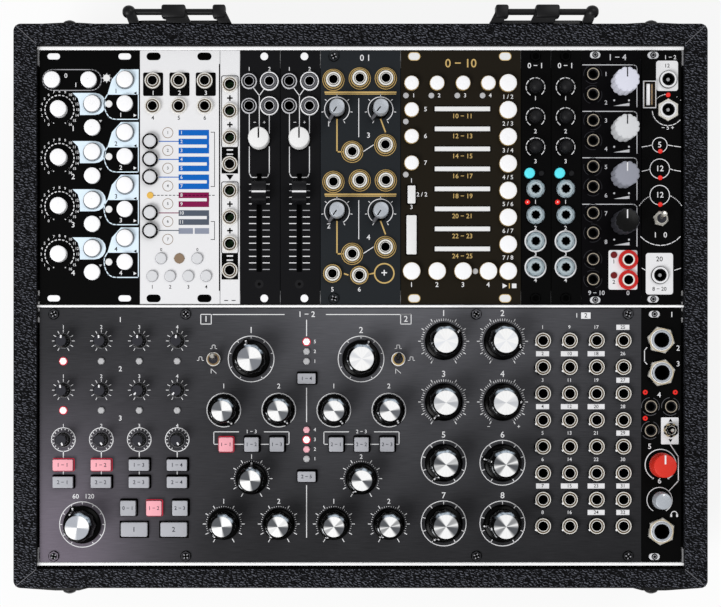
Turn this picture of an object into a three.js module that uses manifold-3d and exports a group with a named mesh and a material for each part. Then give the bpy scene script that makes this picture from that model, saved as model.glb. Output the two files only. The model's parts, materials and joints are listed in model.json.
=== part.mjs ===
// Two row modular synthesizer in a covered plywood case, lying on its back with the panels facing up.
// Lengths are in millimetres. X runs along the rows, Y points to the hinge side and Z points up.
import * as THREE from "three";
import { mergeVertices } from "three/addons/utils/BufferGeometryUtils.js";
import Module from "manifold-3d";

const wasm = await Module();
wasm.setup();

// Fits
const fit = 0.1; // between faces that rest on one another
const clearance = 0.3; // round whatever turns, slides or tilts
const overrun = 1; // how far a cutting shape runs past the faces that it cuts

// Rows and panels
const hp = 5.08; // one unit of module width
const rowUnits = 64;
const panelHeight = 128.5;
const panelThickness = 2;
const panelSideGap = 0.3;
const panelEdgeGap = 0.25;
const panelRecess = 3; // from the rim down to the panels
const panelSeatWidth = 7; // how much of a panel's edge lies on its rail
const screwLine = 3; // from a panel's edge to its mounting holes

// Rails
const upperLip = 2.3;
const lowerLip = 3;
const middleLip = 1.5;
const lipChamfer = 0.4;
const railDepth = 9;
const grooveMouth = 3.2;
const grooveWidth = 5.2;
const grooveLip = 1.4;
const grooveDepth = 5;

// Case
const sideWall = 11.7;
const upperWall = 10.6;
const lowerWall = 9.6;
const sideGap = 1.14; // between the end panels and the side walls
const caseDepth = 100;
const floorThickness = 9;
const cornerRadius = 2.5;
const edgeRound = 1.2;

// Thin plates on the two long walls, each with a domed rivet. Along the wall, from the case's side, a
// plate rises from its start to its crest, runs level and falls from its brow to its end.
const plateDepth = 26;
const plateDrop = 2; // from the rim down to the plate
const upperPlate = { start: 12, crest: 24, brow: 33, end: 43, thickness: 0.6, rivetHeight: 2.9 };
const lowerPlate = { start: 2.5, crest: 21, brow: 33, end: 38, thickness: 1.3, rivetHeight: 3.5 };
const rivetInset = 27.4;
const rivetDrop = 8; // from the rim down to the rivet's middle
const rivetRadius = 3.5;
const rivetSeat = 1; // how far a plate and its rivet reach into the wall

// Feet
const footRadius = 9;
const footHeight = 4;
const footTaper = 1;
const footInset = 24;

// Hinge halves for a lift off lid
const hingeInset = 58.3; // from the case's side to the ball's middle
const leafStart = 4; // from the ball's middle
const leafLength = 47.5;
const leafThickness = 1.75;
const leafDepth = 26;
const leafCorner = 3;
const pinRadius = 1.65;
const leafScrewShares = [1 / 6, 5 / 6]; // of the leaf's length
const leafScrewDepthShare = 0.65; // of the leaf's depth
const pinOffset = 5.95; // from the wall to the pin's axis
const pinDrop = 2; // from the rim down to the pin's axis
const knuckleRadius = 3.35;
const knuckleChamfer = 0.8;
const knuckleLean = 3; // how far a knuckle's leg leans along the wall
const middleKnuckle = { start: 16.6, length: 12.2 };
const innerKnuckle = { start: 42.4, length: 6.6 };
const ballLegStart = -0.5;
const ballLegWidth = 3.4;
const leafScrewRadius = 2.6;
const leafScrewHeight = 1;

// Circuit boards behind the panels
const boardThickness = 1.6;
const boardSetback = 10; // from a panel's back to its board
const boardSideInset = 1.5;
const boardLengthShare = 0.8;
const postWidth = 5;
const postRowShare = 0.36;

// Power distribution board on the case floor
const busInset = 12; // from a side wall to the board's end
const busWidth = 30;
const busStandoffHeight = 6;
const busStandoffWidth = 8;
const headerLength = 17;
const headerWidth = 9;
const headerHeight = 8;
const headerCount = 12;

// Sockets
const miniBore = 2.15;
const miniNut = 3.8;
const miniNutHeight = 1.8;
const wideNut = 4.6;
const slimNut = 3.2;
const slimNutHeight = 1.4;
const bigBore = 3.45;
const bigBushing = 4.9;
const bigBushingHeight = 3.4;
const bigNut = 6.8;
const bigNutHeight = 2.2;
const bigBodyWidth = 14;
const bigBodyDepth = 24;
const powerBore = 2.9;
const powerPin = 0.95;
const powerRing = 4.1;
const powerRingHeight = 1.6;
const powerNut = 5.6;
const powerBodyWidth = 9;
const powerBodyDepth = 9;

// Mounting holes
const slotLength = 6.5;
const slotHeight = 3.2;
const shortSlotLength = 5.6;
const shortSlotHeight = 3.6;
const roundHole = 1.6;
const screwRadius = 2.6;
const screwHeight = 1;

// Skirted knobs with a pointer nose
const largeKnob = { skirt: 9.65, cap: 5.95, shoulder: 7.4, height: 18, skirtEdge: 1.6, shoulderHeight: 6 };
const mediumKnob = { skirt: 8, cap: 5.1, shoulder: 6.2, height: 16, skirtEdge: 1.4, shoulderHeight: 5 };
const noseReach = 1.3; // how far the nose stands out of the skirt
const noseWidth = 3.2;
const shaftRadius = 2.4;
const shaftLength = 5; // below the knob's underside
const lobedRadius = 6.05;
const lobedHeight = 13;
const lobeDepthShare = 0.04;
const lobeCount = 10;
const flatKnob = { skirt: 5.9, cap: 5.2, shoulder: 5.35, height: 9, skirtEdge: 0.8, shoulderHeight: 1.4 };
const redKnob = { skirt: 6.5, cap: 5.8, shoulder: 6.35, height: 12, skirtEdge: 1.2, shoulderHeight: 2.4 };
const phonesKnob = { skirt: 4.85, cap: 4.1, shoulder: 4.6, height: 10, skirtEdge: 1, shoulderHeight: 3 };

// Small controls that are one piece with their panel
const stepKnobSkirt = 3.7;
const stepKnobSkirtHeight = 0.9;
const stepKnobRadius = 3;
const stepKnobHeight = 9;
const gateKnob = { skirt: 4.8, cap: 3.75, shoulder: 3.9, height: 12, skirtEdge: 2, shoulderHeight: 3 };
const gateNoseReach = 2;
const gateNoseWidth = 2;
const effectKnobRadius = 2.5;
const effectKnobHeight = 6;
const discHeight = 2.4;
const dialDisc = 4;
const clockDisc = 3.9;
const smallDisc = 3.4;
const wideDisc = 4.2;
const ringButton = 3.85;
const ringButtonHeight = 2.2;
const scaleButton = 2.7;
const scaleButtonHeight = 1.2;
const lampRadius = 1.65;
const lampHeight = 1;

// Keys of the voice module
const keyHeight = 2.4;
const stepKey = [10.4, 5.9];
const squareKey = [7.9, 7.8];
const assignKey = [7.4, 7.4];
const centreKey = [9.3, 5.4];
const playKey = [14, 7.8];
const keyCorner = 0.8;
const keyStem = 1.6; // how far a moving key reaches behind its panel

// Toggle switches
const toggleNut = 3.8;
const toggleNutHeight = 1.6;
const toggleBushing = 3;
const toggleBushingHeight = 3.6;
const toggleBall = 1.9;
const toggleNeck = 1.1;
const toggleTip = 1.5;
const toggleLength = 9;
const toggleBallHeight = 1.4; // from the panel's face up to the ball's centre
const toggleTilt = 12; // degrees to either side

// Sliders
const sliderGroove = 2.6;
const sliderGrooveShare = 0.388; // of the panel's height
const sliderBodyWidth = 8;
const sliderBodyDepth = 7;
const sliderWallEnd = 4;
const sliderCapWidth = 7.3;
const sliderCapLength = 12;
const sliderCapHeight = 8;
const sliderCapDish = 2.4;
const sliderCapTopShare = 0.86; // of its length
const sliderCapFloorShare = 0.28;
const sliderStemLength = 3;
const sliderStemDepth = 4; // below the panel's face
const sliderCapLift = 0.8; // from the panel's face to the cap's underside

// Side counts
const socketSides = 8;
const boreSides = 6;
const discSides = 8;
const knobSides = 12;
const smallKnobSides = 10;
const fewSides = 6;

// Worked out sizes
const rowGap = middleLip + 2 * panelEdgeGap;
const rowPitch = panelHeight + rowGap;
const openingWidth = rowUnits * hp + 2 * sideGap;
const rowsEnd = panelHeight + rowGap / 2 + panelEdgeGap; // from the rows' middle to a rail's lip
const openingTop = rowsEnd + upperLip + fit;
const openingBottom = -(rowsEnd + lowerLip + fit);
const caseWidth = openingWidth + 2 * sideWall;
const caseTop = openingTop + upperWall;
const caseBottom = openingBottom - lowerWall;
const busLength = openingWidth - 2 * busInset;
const caseBase = footHeight + fit;
const rimTop = caseBase + caseDepth;
const panelFront = rimTop - panelRecess;
const panelBack = panelFront - panelThickness;
const railSeat = panelBack - fit;
const hingeReach = fit + pinOffset + knuckleRadius;

const degrees = Math.PI / 180;

const colours = {
  covering: 0x1b1b1d,
  aluminium: 0xc9cbce,
  hardware: 0x1a1a1c,
  rubber: 0x202020,
  board: 0x1d4a2c,
  black: 0x0d0d0f,
  silver: 0xd4d6d9,
  slate: 0x2a2d31,
  brown: 0x25211b,
  charcoal: 0x3b3b40,
  white: 0xe9e9ea,
  paleGrey: 0xd2d3d6,
  midGrey: 0x90949c,
  red: 0xd0352b,
  metal: 0xb9bcc0,
  key: 0xb4b4bc,
};

// Turns a closed geometry into a solid that can be joined and cut.
function solidOf(geometry) {
  const bare = geometry.index ? geometry.toNonIndexed() : geometry;
  bare.deleteAttribute("normal");
  bare.deleteAttribute("uv");
  const merged = mergeVertices(bare);
  return new wasm.Manifold(
    new wasm.Mesh({
      numProp: 3,
      vertProperties: new Float32Array(merged.attributes.position.array),
      triVerts: new Uint32Array(merged.index.array),
    }),
  );
}

function joined(solids) {
  return solids.reduce((sum, next) => sum.add(next));
}

function cutBy(solid, cutters) {
  return cutters.length ? solid.subtract(joined(cutters)) : solid;
}

// A named mesh of one solid.
function piece(name, solid, colour, roughness = 0.5, metalness = 0) {
  const made = solid.getMesh();
  const geometry = new THREE.BufferGeometry()
    .setAttribute("position", new THREE.BufferAttribute(made.vertProperties, 3))
    .setIndex(new THREE.BufferAttribute(made.triVerts, 1));
  geometry.computeVertexNormals();
  const material = new THREE.MeshStandardMaterial({ color: colour, roughness, metalness });
  const mesh = new THREE.Mesh(geometry, material);
  mesh.name = name;
  return mesh;
}

// A box whose base is centred on x, y, z.
function block(width, length, height, x, y, z) {
  return solidOf(new THREE.BoxGeometry(width, length, height).translate(x, y, z + height / 2));
}

// An upright prism with a regular outline, from one height to another.
function prism(sides, radius, x, y, low, high) {
  const geometry = new THREE.CylinderGeometry(radius, radius, high - low, sides);
  return solidOf(geometry.rotateX(Math.PI / 2).translate(x, y, (low + high) / 2));
}

// A profile of [radius, height] pairs, from the axis at the bottom round to the axis at the top.
function revolved(profile, sides) {
  const points = profile.map(([radius, height]) => new THREE.Vector2(radius, height));
  return solidOf(new THREE.LatheGeometry(points, sides).rotateX(Math.PI / 2));
}

// An outline of [x, y] pairs raised upright.
function raised(outline, low, high) {
  const shape = new THREE.Shape(outline.map(([x, y]) => new THREE.Vector2(x, y)));
  const geometry = new THREE.ExtrudeGeometry(shape, { depth: high - low, bevelEnabled: false });
  return solidOf(geometry.translate(0, 0, low));
}

// An outline of [y, z] pairs drawn out along X.
function drawnOut(outline, length) {
  const shape = new THREE.Shape(outline.map(([y, z]) => new THREE.Vector2(y, z)));
  const geometry = new THREE.ExtrudeGeometry(shape, { depth: length, bevelEnabled: false });
  return solidOf(
    geometry
      .translate(0, 0, -length / 2)
      .rotateX(Math.PI / 2)
      .rotateZ(Math.PI / 2),
  );
}

// A rectangle with rounded corners, centred on the origin.
function roundedShape(width, length, radius) {
  const x = width / 2 - radius;
  const y = length / 2 - radius;
  const shape = new THREE.Shape();
  shape.absarc(x, y, radius, 0, Math.PI / 2);
  shape.absarc(-x, y, radius, Math.PI / 2, Math.PI);
  shape.absarc(-x, -y, radius, Math.PI, 1.5 * Math.PI);
  shape.absarc(x, -y, radius, 1.5 * Math.PI, 2 * Math.PI);
  return shape;
}

function roundedBlock(width, length, radius, low, high, curveSegments) {
  const geometry = new THREE.ExtrudeGeometry(roundedShape(width, length, radius), {
    depth: high - low,
    bevelEnabled: false,
    curveSegments,
  });
  return solidOf(geometry.translate(0, 0, low));
}

// One plate on a long wall. It is drawn with the wall along X at y = 0, the case's side at x = 0 and
// the rim at z = 0, and stands out towards +Y.
function wallPlate({ start, crest, brow, end, thickness, rivetHeight }) {
  const sheet = raised(
    [
      [start, -rivetSeat],
      [end, -rivetSeat],
      [end, 0],
      [brow, thickness],
      [crest, thickness],
      [start, 0],
    ],
    -plateDrop - plateDepth,
    -plateDrop,
  );
  const rivet = revolved(
    [
      [0, -rivetSeat],
      [rivetRadius, -rivetSeat],
      [rivetRadius, thickness],
      [rivetRadius * Math.SQRT1_2, thickness + (rivetHeight - thickness) * Math.SQRT1_2],
      [rivetRadius / 3, rivetHeight],
      [0, rivetHeight],
    ],
    knobSides,
  );
  return sheet.add(rivet.rotate([-90, 0, 0]).translate([rivetInset, 0, -rivetDrop]));
}

// The case, an open tray with rounded edges and thin plates on its long walls.
function caseBox() {
  const breadth = caseTop - caseBottom;
  const shell = new THREE.ExtrudeGeometry(
    roundedShape(caseWidth - 2 * edgeRound, breadth - 2 * edgeRound, cornerRadius),
    {
      depth: caseDepth - 2 * edgeRound,
      bevelThickness: edgeRound,
      bevelSize: edgeRound,
      bevelSegments: 2,
      curveSegments: 3,
    },
  );
  const outer = solidOf(shell.translate(0, (caseTop + caseBottom) / 2, caseBase + edgeRound));
  const cavity = block(
    openingWidth,
    openingTop - openingBottom,
    caseDepth + overrun - floorThickness,
    0,
    (openingTop + openingBottom) / 2,
    caseBase + floorThickness,
  );
  const plates = [];
  for (const side of [-1, 1]) {
    const upper = wallPlate(upperPlate).translate([-caseWidth / 2, caseTop, rimTop]);
    const lower = wallPlate(lowerPlate).mirror([0, 1, 0]).translate([-caseWidth / 2, caseBottom, rimTop]);
    for (const plate of [upper, lower]) plates.push(side < 0 ? plate : plate.mirror([1, 0, 0]));
  }
  return joined([outer.subtract(cavity), ...plates]);
}

// One side of a rail's section as [y, z] pairs. y runs from the lip's middle or outer face towards
// the panel, z is up from the seat. The groove holds the nuts of the panel screws.
function railSide(lipFace, panelEdge) {
  const groove = panelEdge + screwLine;
  const far = panelEdge + panelSeatWidth;
  return [
    [far, -railDepth],
    [far, 0],
    [groove + grooveMouth / 2, 0],
    [groove + grooveMouth / 2, -grooveLip],
    [groove + grooveWidth / 2, -grooveLip],
    [groove + grooveWidth / 2, -grooveDepth],
    [groove - grooveWidth / 2, -grooveDepth],
    [groove - grooveWidth / 2, -grooveLip],
    [groove - grooveMouth / 2, -grooveLip],
    [groove - grooveMouth / 2, 0],
    [lipFace, 0],
    [lipFace, panelThickness],
    [lipFace - lipChamfer, panelThickness + lipChamfer],
  ];
}

function rail(name, outline, y) {
  const mesh = piece(name, drawnOut(outline, openingWidth - 2 * fit), colours.aluminium, 0.3, 0.9);
  mesh.position.set(0, y, railSeat);
  return mesh;
}

// The outer rails lie against the long walls, the middle rail carries both rows.
function rails() {
  const outer = (lip) => [
    [0, -railDepth],
    ...railSide(lip, lip + panelEdgeGap),
    [lipChamfer, panelThickness + lipChamfer],
    [0, panelThickness],
  ];
  const half = railSide(middleLip / 2, middleLip / 2 + panelEdgeGap);
  const mirrored = half.map(([y, z]) => [-y, z]).reverse();
  return [
    rail("upper_rail", outer(upperLip).map(([y, z]) => [-y, z]).reverse(), openingTop - fit),
    rail("middle_rail", [...half, ...mirrored], 0),
    rail("lower_rail", outer(lowerLip), openingBottom + fit),
  ];
}

function foot(name, x, y) {
  const rubber = revolved(
    [
      [0, 0],
      [footRadius - footTaper, 0],
      [footRadius, footTaper],
      [footRadius, footHeight],
      [0, footHeight],
    ],
    knobSides,
  );
  const mesh = piece(name, rubber, colours.rubber, 0.9);
  mesh.position.set(x, y, 0);
  return mesh;
}

// Half of a lift off hinge: a leaf, knuckles and a pin with a ball at its outer end. It is drawn with
// the ball's middle at x = 0, its leaf on the wall at y = 0 and the pin's axis at z = 0.
function hingeHalf(name, side) {
  const leg = (start, width) =>
    raised(
      [
        [start, pinOffset],
        [start + width, pinOffset],
        [start + width + knuckleLean, 0],
        [start + knuckleLean, 0],
      ],
      -knuckleRadius,
      knuckleRadius - knuckleChamfer,
    );
  const barrel = ({ start, length }) =>
    revolved(
      [
        [0, start],
        [knuckleRadius - knuckleChamfer, start],
        [knuckleRadius, start + knuckleChamfer],
        [knuckleRadius, start + length - knuckleChamfer],
        [knuckleRadius - knuckleChamfer, start + length],
        [0, start + length],
      ],
      knobSides,
    )
      .rotate([0, 90, 0])
      .translate([0, pinOffset, 0]);
  const leaf = roundedBlock(leafLength, leafDepth, leafCorner, 0, leafThickness, 2)
    .rotate([-90, 0, 0])
    .translate([leafStart + leafLength / 2, 0, -leafDepth / 2]);
  const screws = leafScrewShares.map((share) =>
    prism(discSides, leafScrewRadius, 0, 0, 0, leafThickness + leafScrewHeight)
      .rotate([-90, 0, 0])
      .translate([leafStart + share * leafLength, 0, -leafDepth * leafScrewDepthShare]),
  );
  const pin = prism(discSides, pinRadius, 0, 0, 0, innerKnuckle.start + overrun)
    .rotate([0, 90, 0])
    .translate([0, pinOffset, 0]);
  const ball = solidOf(new THREE.SphereGeometry(knuckleRadius, 12, 8)).translate([0, pinOffset, 0]);
  const whole = joined([
    leaf,
    ...screws,
    pin,
    ball,
    leg(ballLegStart, ballLegWidth),
    ...[middleKnuckle, innerKnuckle].flatMap((knuckle) => [
      barrel(knuckle),
      leg(knuckle.start, knuckle.length),
    ]),
  ]);
  const placed = side < 0 ? whole : whole.mirror([1, 0, 0]);
  const mesh = piece(name, placed, colours.hardware, 0.4, 0.6);
  mesh.position.set(side * (caseWidth / 2 - hingeInset), caseTop + fit, rimTop - pinDrop);
  return mesh;
}

// The board that spreads power to the modules, on standoffs on the case floor.
function powerBus() {
  const top = busStandoffHeight + boardThickness;
  const solids = [block(busLength, busWidth, boardThickness, 0, 0, busStandoffHeight)];
  for (const side of [-1, 1]) {
    const x = side * (busLength / 2 - busStandoffWidth);
    solids.push(block(busStandoffWidth, busStandoffWidth, top, x, 0, 0));
  }
  const step = (busLength - 4 * busStandoffWidth) / headerCount;
  for (let i = 0; i < headerCount; i++) {
    const x = (i - (headerCount - 1) / 2) * step;
    solids.push(block(headerLength, headerWidth, headerHeight, x, 0, busStandoffHeight));
  }
  const mesh = piece("power_bus_board", joined(solids), colours.board, 0.6);
  mesh.position.set(0, 0, caseBase + floorThickness + fit);
  return mesh;
}

// A module starts as a plate with a circuit board on posts behind it. Its origin is the middle of the
// plate's back face. Places on it are shares of its width from the left and of its height from the top.
class Module3U {
  constructor(name, units, colour) {
    this.name = name;
    this.units = units;
    this.colour = colour;
    this.width = units * hp - panelSideGap;
    this.movers = [];
    const boardWidth = this.width - 2 * boardSideInset;
    const boardLength = boardLengthShare * panelHeight;
    const boardLow = -boardSetback - boardThickness;
    this.adds = [
      block(this.width, panelHeight, panelThickness, 0, 0, 0),
      block(boardWidth, boardLength, boardThickness, 0, 0, boardLow),
    ];
    const postX = boardWidth / 2 - postWidth / 2;
    const postY = postRowShare * panelHeight;
    const postHeight = boardSetback + boardThickness + panelThickness / 2;
    for (const side of [-1, 1]) {
      this.adds.push(block(postWidth, postWidth, postHeight, side * postX, side * postY, boardLow));
    }
    this.cuts = [];
  }

  place([across, down]) {
    return [(across - 0.5) * this.width, (0.5 - down) * panelHeight];
  }

  // A prism that stands on the plate.
  stud(share, radius, height, sides = discSides) {
    const [x, y] = this.place(share);
    this.adds.push(prism(sides, radius, x, y, panelThickness / 2, panelThickness + height));
  }

  screw(share) {
    this.stud(share, screwRadius, screwHeight, fewSides);
  }

  bore(share, radius, low = -overrun, sides = boreSides) {
    const [x, y] = this.place(share);
    const high = panelThickness + bigBushingHeight + overrun;
    this.cuts.push(prism(sides, radius, x, y, low, high));
  }

  // A patch socket: its nut on the plate and its bore through both.
  socket(share, nut = miniNut, height = miniNutHeight, bore = miniBore) {
    this.stud(share, nut, height, socketSides);
    this.bore(share, bore);
  }

  // A quarter inch socket with a hexagonal nut, a bushing and a blind bore in its own body.
  bigSocket(share) {
    const [x, y] = this.place(share);
    this.adds.push(block(bigBodyWidth, bigBodyWidth, bigBodyDepth, x, y, -bigBodyDepth));
    this.stud(share, bigNut, bigNutHeight, fewSides);
    this.stud(share, bigBushing, bigBushingHeight, knobSides);
    this.bore(share, bigBore, -bigBodyDepth + overrun, knobSides);
  }

  // A round power inlet with its contact pin in the middle of a blind bore.
  powerSocket(share, nut = 0) {
    const [x, y] = this.place(share);
    const low = -powerBodyDepth + overrun;
    this.adds.push(block(powerBodyWidth, powerBodyWidth, powerBodyDepth, x, y, -powerBodyDepth));
    if (nut) this.stud(share, nut, powerRingHeight / 2, fewSides);
    this.stud(share, powerRing, powerRingHeight, knobSides);
    const well = prism(smallKnobSides, powerBore, x, y, low, panelThickness + overrun + powerRingHeight);
    this.cuts.push(well.subtract(prism(fewSides, powerPin, x, y, low - overrun, panelThickness)));
  }

  // An oblong mounting hole.
  slot(share, length = slotLength, height = slotHeight) {
    const [x, y] = this.place(share);
    const shape = roundedShape(length, height, height / 2 - fit / 2);
    const geometry = new THREE.ExtrudeGeometry(shape, {
      depth: panelThickness + 2 * overrun,
      bevelEnabled: false,
      curveSegments: 2,
    });
    this.cuts.push(solidOf(geometry.translate(x, y, -overrun)));
  }

  // A rectangular key that stands on the plate.
  key(share, [width, length], height = keyHeight) {
    const [x, y] = this.place(share);
    this.adds.push(block(width, length, height + panelThickness / 2, x, y, panelThickness / 2));
  }

  window(share, [width, length]) {
    const [x, y] = this.place(share);
    this.cuts.push(block(width, length, panelThickness + 2 * overrun, x, y, -overrun));
  }

  // Puts a moving piece on the module, turned clockwise by the angle that its pointer shows.
  carry(name, solid, colour, share, height, pointer = 0) {
    const [x, y] = this.place(share);
    const mesh = piece(name, solid, colour, 0.35);
    mesh.position.set(x, y, height);
    mesh.rotation.z = -pointer * degrees;
    this.movers.push(mesh);
  }

  // A knob and the hole that its shaft turns in.
  knob(name, solid, colour, share, pointer = 0) {
    this.bore(share, (shaftRadius + clearance) / Math.cos(Math.PI / fewSides), -overrun, fewSides);
    this.carry(name, solid, colour, share, panelThickness + clearance, pointer);
  }

  // A toggle switch: nut and bushing on the plate, and its lever on a ball in the bushing.
  toggle(name, share, tilt) {
    this.toggleBase(share);
    const [x, y] = this.place(share);
    const lever = piece(name, toggleLever(), colours.metal, 0.3, 0.8);
    lever.position.set(x, y, panelThickness + toggleBallHeight);
    lever.rotation.x = -tilt * degrees;
    this.movers.push(lever);
  }

  toggleBase(share) {
    const hole = (toggleBall + clearance) / Math.cos(Math.PI / socketSides);
    const low = panelThickness + toggleBallHeight - toggleBall - clearance;
    this.stud(share, toggleNut, toggleNutHeight, fewSides);
    this.stud(share, toggleBushing, toggleBushingHeight, socketSides);
    this.bore(share, hole, low, socketSides);
  }

  group() {
    const group = new THREE.Group();
    const plate = cutBy(joined(this.adds), this.cuts);
    group.add(piece(this.name, plate, this.colour, 0.45, 0.3), ...this.movers);
    return group;
  }
}

const shaft = () => prism(fewSides, shaftRadius, 0, 0, -shaftLength, overrun);

function roundKnob(size, sides) {
  return revolved(
    [
      [0, 0],
      [size.skirt, 0],
      [size.skirt, size.skirtEdge],
      [size.shoulder, size.shoulderHeight],
      [size.cap, size.height],
      [0, size.height],
    ],
    sides,
  );
}

// A skirted knob: the nose on its skirt points along +Y.
function skirtedKnob(size, sides) {
  const root = size.shoulder;
  const tip = size.skirt + noseReach;
  const nose = raised(
    [
      [-noseWidth / 2, root],
      [noseWidth / 2, root],
      [noseWidth / 4, tip],
      [-noseWidth / 4, tip],
    ],
    0,
    size.skirtEdge,
  );
  return joined([roundKnob(size, sides), nose, shaft()]);
}

// A knob whose outline runs in and out round a circle.
function lobedKnob() {
  const perLobe = 3;
  const outline = Array.from({ length: lobeCount * perLobe }, (_, i) => {
    const turn = (i * 2 * Math.PI) / (lobeCount * perLobe);
    const radius = lobedRadius * (1 + lobeDepthShare * Math.cos(lobeCount * turn));
    return [radius * Math.sin(-turn), radius * Math.cos(turn)];
  });
  return joined([raised(outline, 0, lobedHeight), shaft()]);
}

// A lever with a ball at its pivot and a thicker tip.
function toggleLever() {
  const half = toggleBall * Math.SQRT1_2;
  return revolved(
    [
      [0, -toggleBall],
      [half, -half],
      [toggleBall, 0],
      [toggleNeck, half + toggleNeck / 2],
      [toggleTip, toggleLength],
      [toggleTip / 2, toggleLength + toggleTip / 2],
      [0, toggleLength + toggleTip / 2],
    ],
    socketSides,
  );
}

// A slider cap: dished along its travel, on a stem that runs in the groove.
function sliderCap() {
  const half = sliderCapLength / 2;
  const outline = [
    [-half, 0],
    [half, 0],
    [half * sliderCapTopShare, sliderCapHeight],
    [half * sliderCapFloorShare, sliderCapHeight - sliderCapDish],
    [-half * sliderCapFloorShare, sliderCapHeight - sliderCapDish],
    [-half * sliderCapTopShare, sliderCapHeight],
  ];
  const stemWidth = sliderGroove - 2 * clearance;
  const stemHeight = sliderStemDepth + sliderCapLift + overrun;
  const stem = block(stemWidth, sliderStemLength, stemHeight, 0, 0, -sliderStemDepth - sliderCapLift);
  return joined([drawnOut(outline, sliderCapWidth), stem]);
}

// A key that travels down into its window.
function movingKey([width, length]) {
  const low = -panelThickness - keyStem;
  return roundedBlock(width - 2 * clearance, length - 2 * clearance, keyCorner, low, keyHeight, 1);
}

// Clock module: four dials, each with three round caps beside it, and a pair of caps per output.
function clockModule() {
  const unit = new Module3U("clock_panel", 10, colours.black);
  const slotShares = [0.14, 0.852];
  const dialRowShare = 0.2337;
  const dialPitchShare = 0.1897;
  const inputRowShare = 0.2106;
  const resetRowShare = 0.3047;
  const pairRowShare = 0.116;
  const pairPitchShare = 0.2076;
  const edgeShare = screwLine / panelHeight;
  for (const x of slotShares) for (const y of [edgeShare, 1 - edgeShare]) unit.slot([x, y]);
  unit.stud([0.127, 0.117], dialDisc, discHeight);
  unit.stud([0.4945, 0.117], clockDisc, discHeight);
  for (let i = 0; i < 4; i++) {
    unit.stud([0.198, dialRowShare + i * dialPitchShare], dialDisc, 2 * discHeight);
    unit.stud([0.529, inputRowShare + i * dialPitchShare], dialDisc, discHeight);
    unit.stud([0.53, resetRowShare + i * dialPitchShare], clockDisc, discHeight);
    unit.stud([0.856, pairRowShare + i * pairPitchShare], dialDisc, discHeight);
    unit.stud([0.856, inputRowShare + i * pairPitchShare], clockDisc, discHeight);
  }
  return unit;
}

// Quantizer module: six sockets, five ring buttons and six small buttons.
function quantizerModule() {
  const unit = new Module3U("quantizer_panel", 8, colours.silver);
  const slotShares = [0.17, 0.808];
  const socketColumnShares = [0.16, 0.487, 0.813];
  const socketRowShares = [0.12, 0.22];
  const buttonRowShares = [0.3584, 0.4288, 0.4992, 0.64, 0.7104];
  const lowButtonShares = [0.1535, 0.378, 0.6067, 0.83];
  const edgeShare = screwLine / panelHeight;
  for (const x of slotShares) for (const y of [edgeShare, 1 - edgeShare]) unit.slot([x, y]);
  for (const x of socketColumnShares) for (const y of socketRowShares) unit.socket([x, y]);
  for (const y of buttonRowShares) unit.stud([0.1275, y], ringButton, ringButtonHeight);
  for (const x of lowButtonShares) unit.stud([x, 0.8886], scaleButton, scaleButtonHeight);
  for (const x of [0.2647, 0.719]) unit.stud([x, 0.8192], scaleButton, scaleButtonHeight);
  return unit;
}

// Summing module: a single column of eight sockets.
function sumModule() {
  const unit = new Module3U("sum_panel", 2, colours.silver);
  const firstShare = 0.135;
  const pitchShare = 0.1045;
  for (let i = 0; i < 8; i++) unit.socket([0.49, firstShare + i * pitchShare]);
  return unit;
}

// Fader module: four sockets, a knob and a slider in its groove.
function faderModule(letter) {
  const unit = new Module3U("fader_panel_" + letter, 4, colours.slate);
  const socketRowShares = [0.1224, 0.2196];
  const grooveShare = 0.6784; // the groove's middle
  const capShare = 0.5604;
  const columnShare = 0.4745;
  const edgeShare = screwLine / panelHeight;
  for (const y of [edgeShare, 1 - edgeShare]) unit.bore([0.604, y], roundHole);
  for (const y of socketRowShares) {
    unit.socket([0.222, y]);
    unit.socket([0.734, y], wideNut);
  }
  const travel = sliderGrooveShare * panelHeight;
  const [x, y] = unit.place([columnShare, grooveShare]);
  const bodyLength = travel + 2 * sliderWallEnd;
  unit.adds.push(block(sliderBodyWidth, bodyLength, sliderBodyDepth, x, y, -sliderBodyDepth));
  const grooveHeight = sliderStemDepth + clearance + overrun;
  const grooveLow = panelThickness - sliderStemDepth - clearance;
  unit.cuts.push(block(sliderGroove, travel, grooveHeight, x, y, grooveLow));
  unit.knob("fader_knob_" + letter, joined([roundKnob(flatKnob, knobSides), shaft()]), colours.white, [
    columnShare,
    0.351,
  ]);
  unit.carry(
    "slider_cap_" + letter,
    sliderCap(),
    colours.black,
    [columnShare, capShare],
    panelThickness + sliderCapLift,
  );
  return unit;
}

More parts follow.
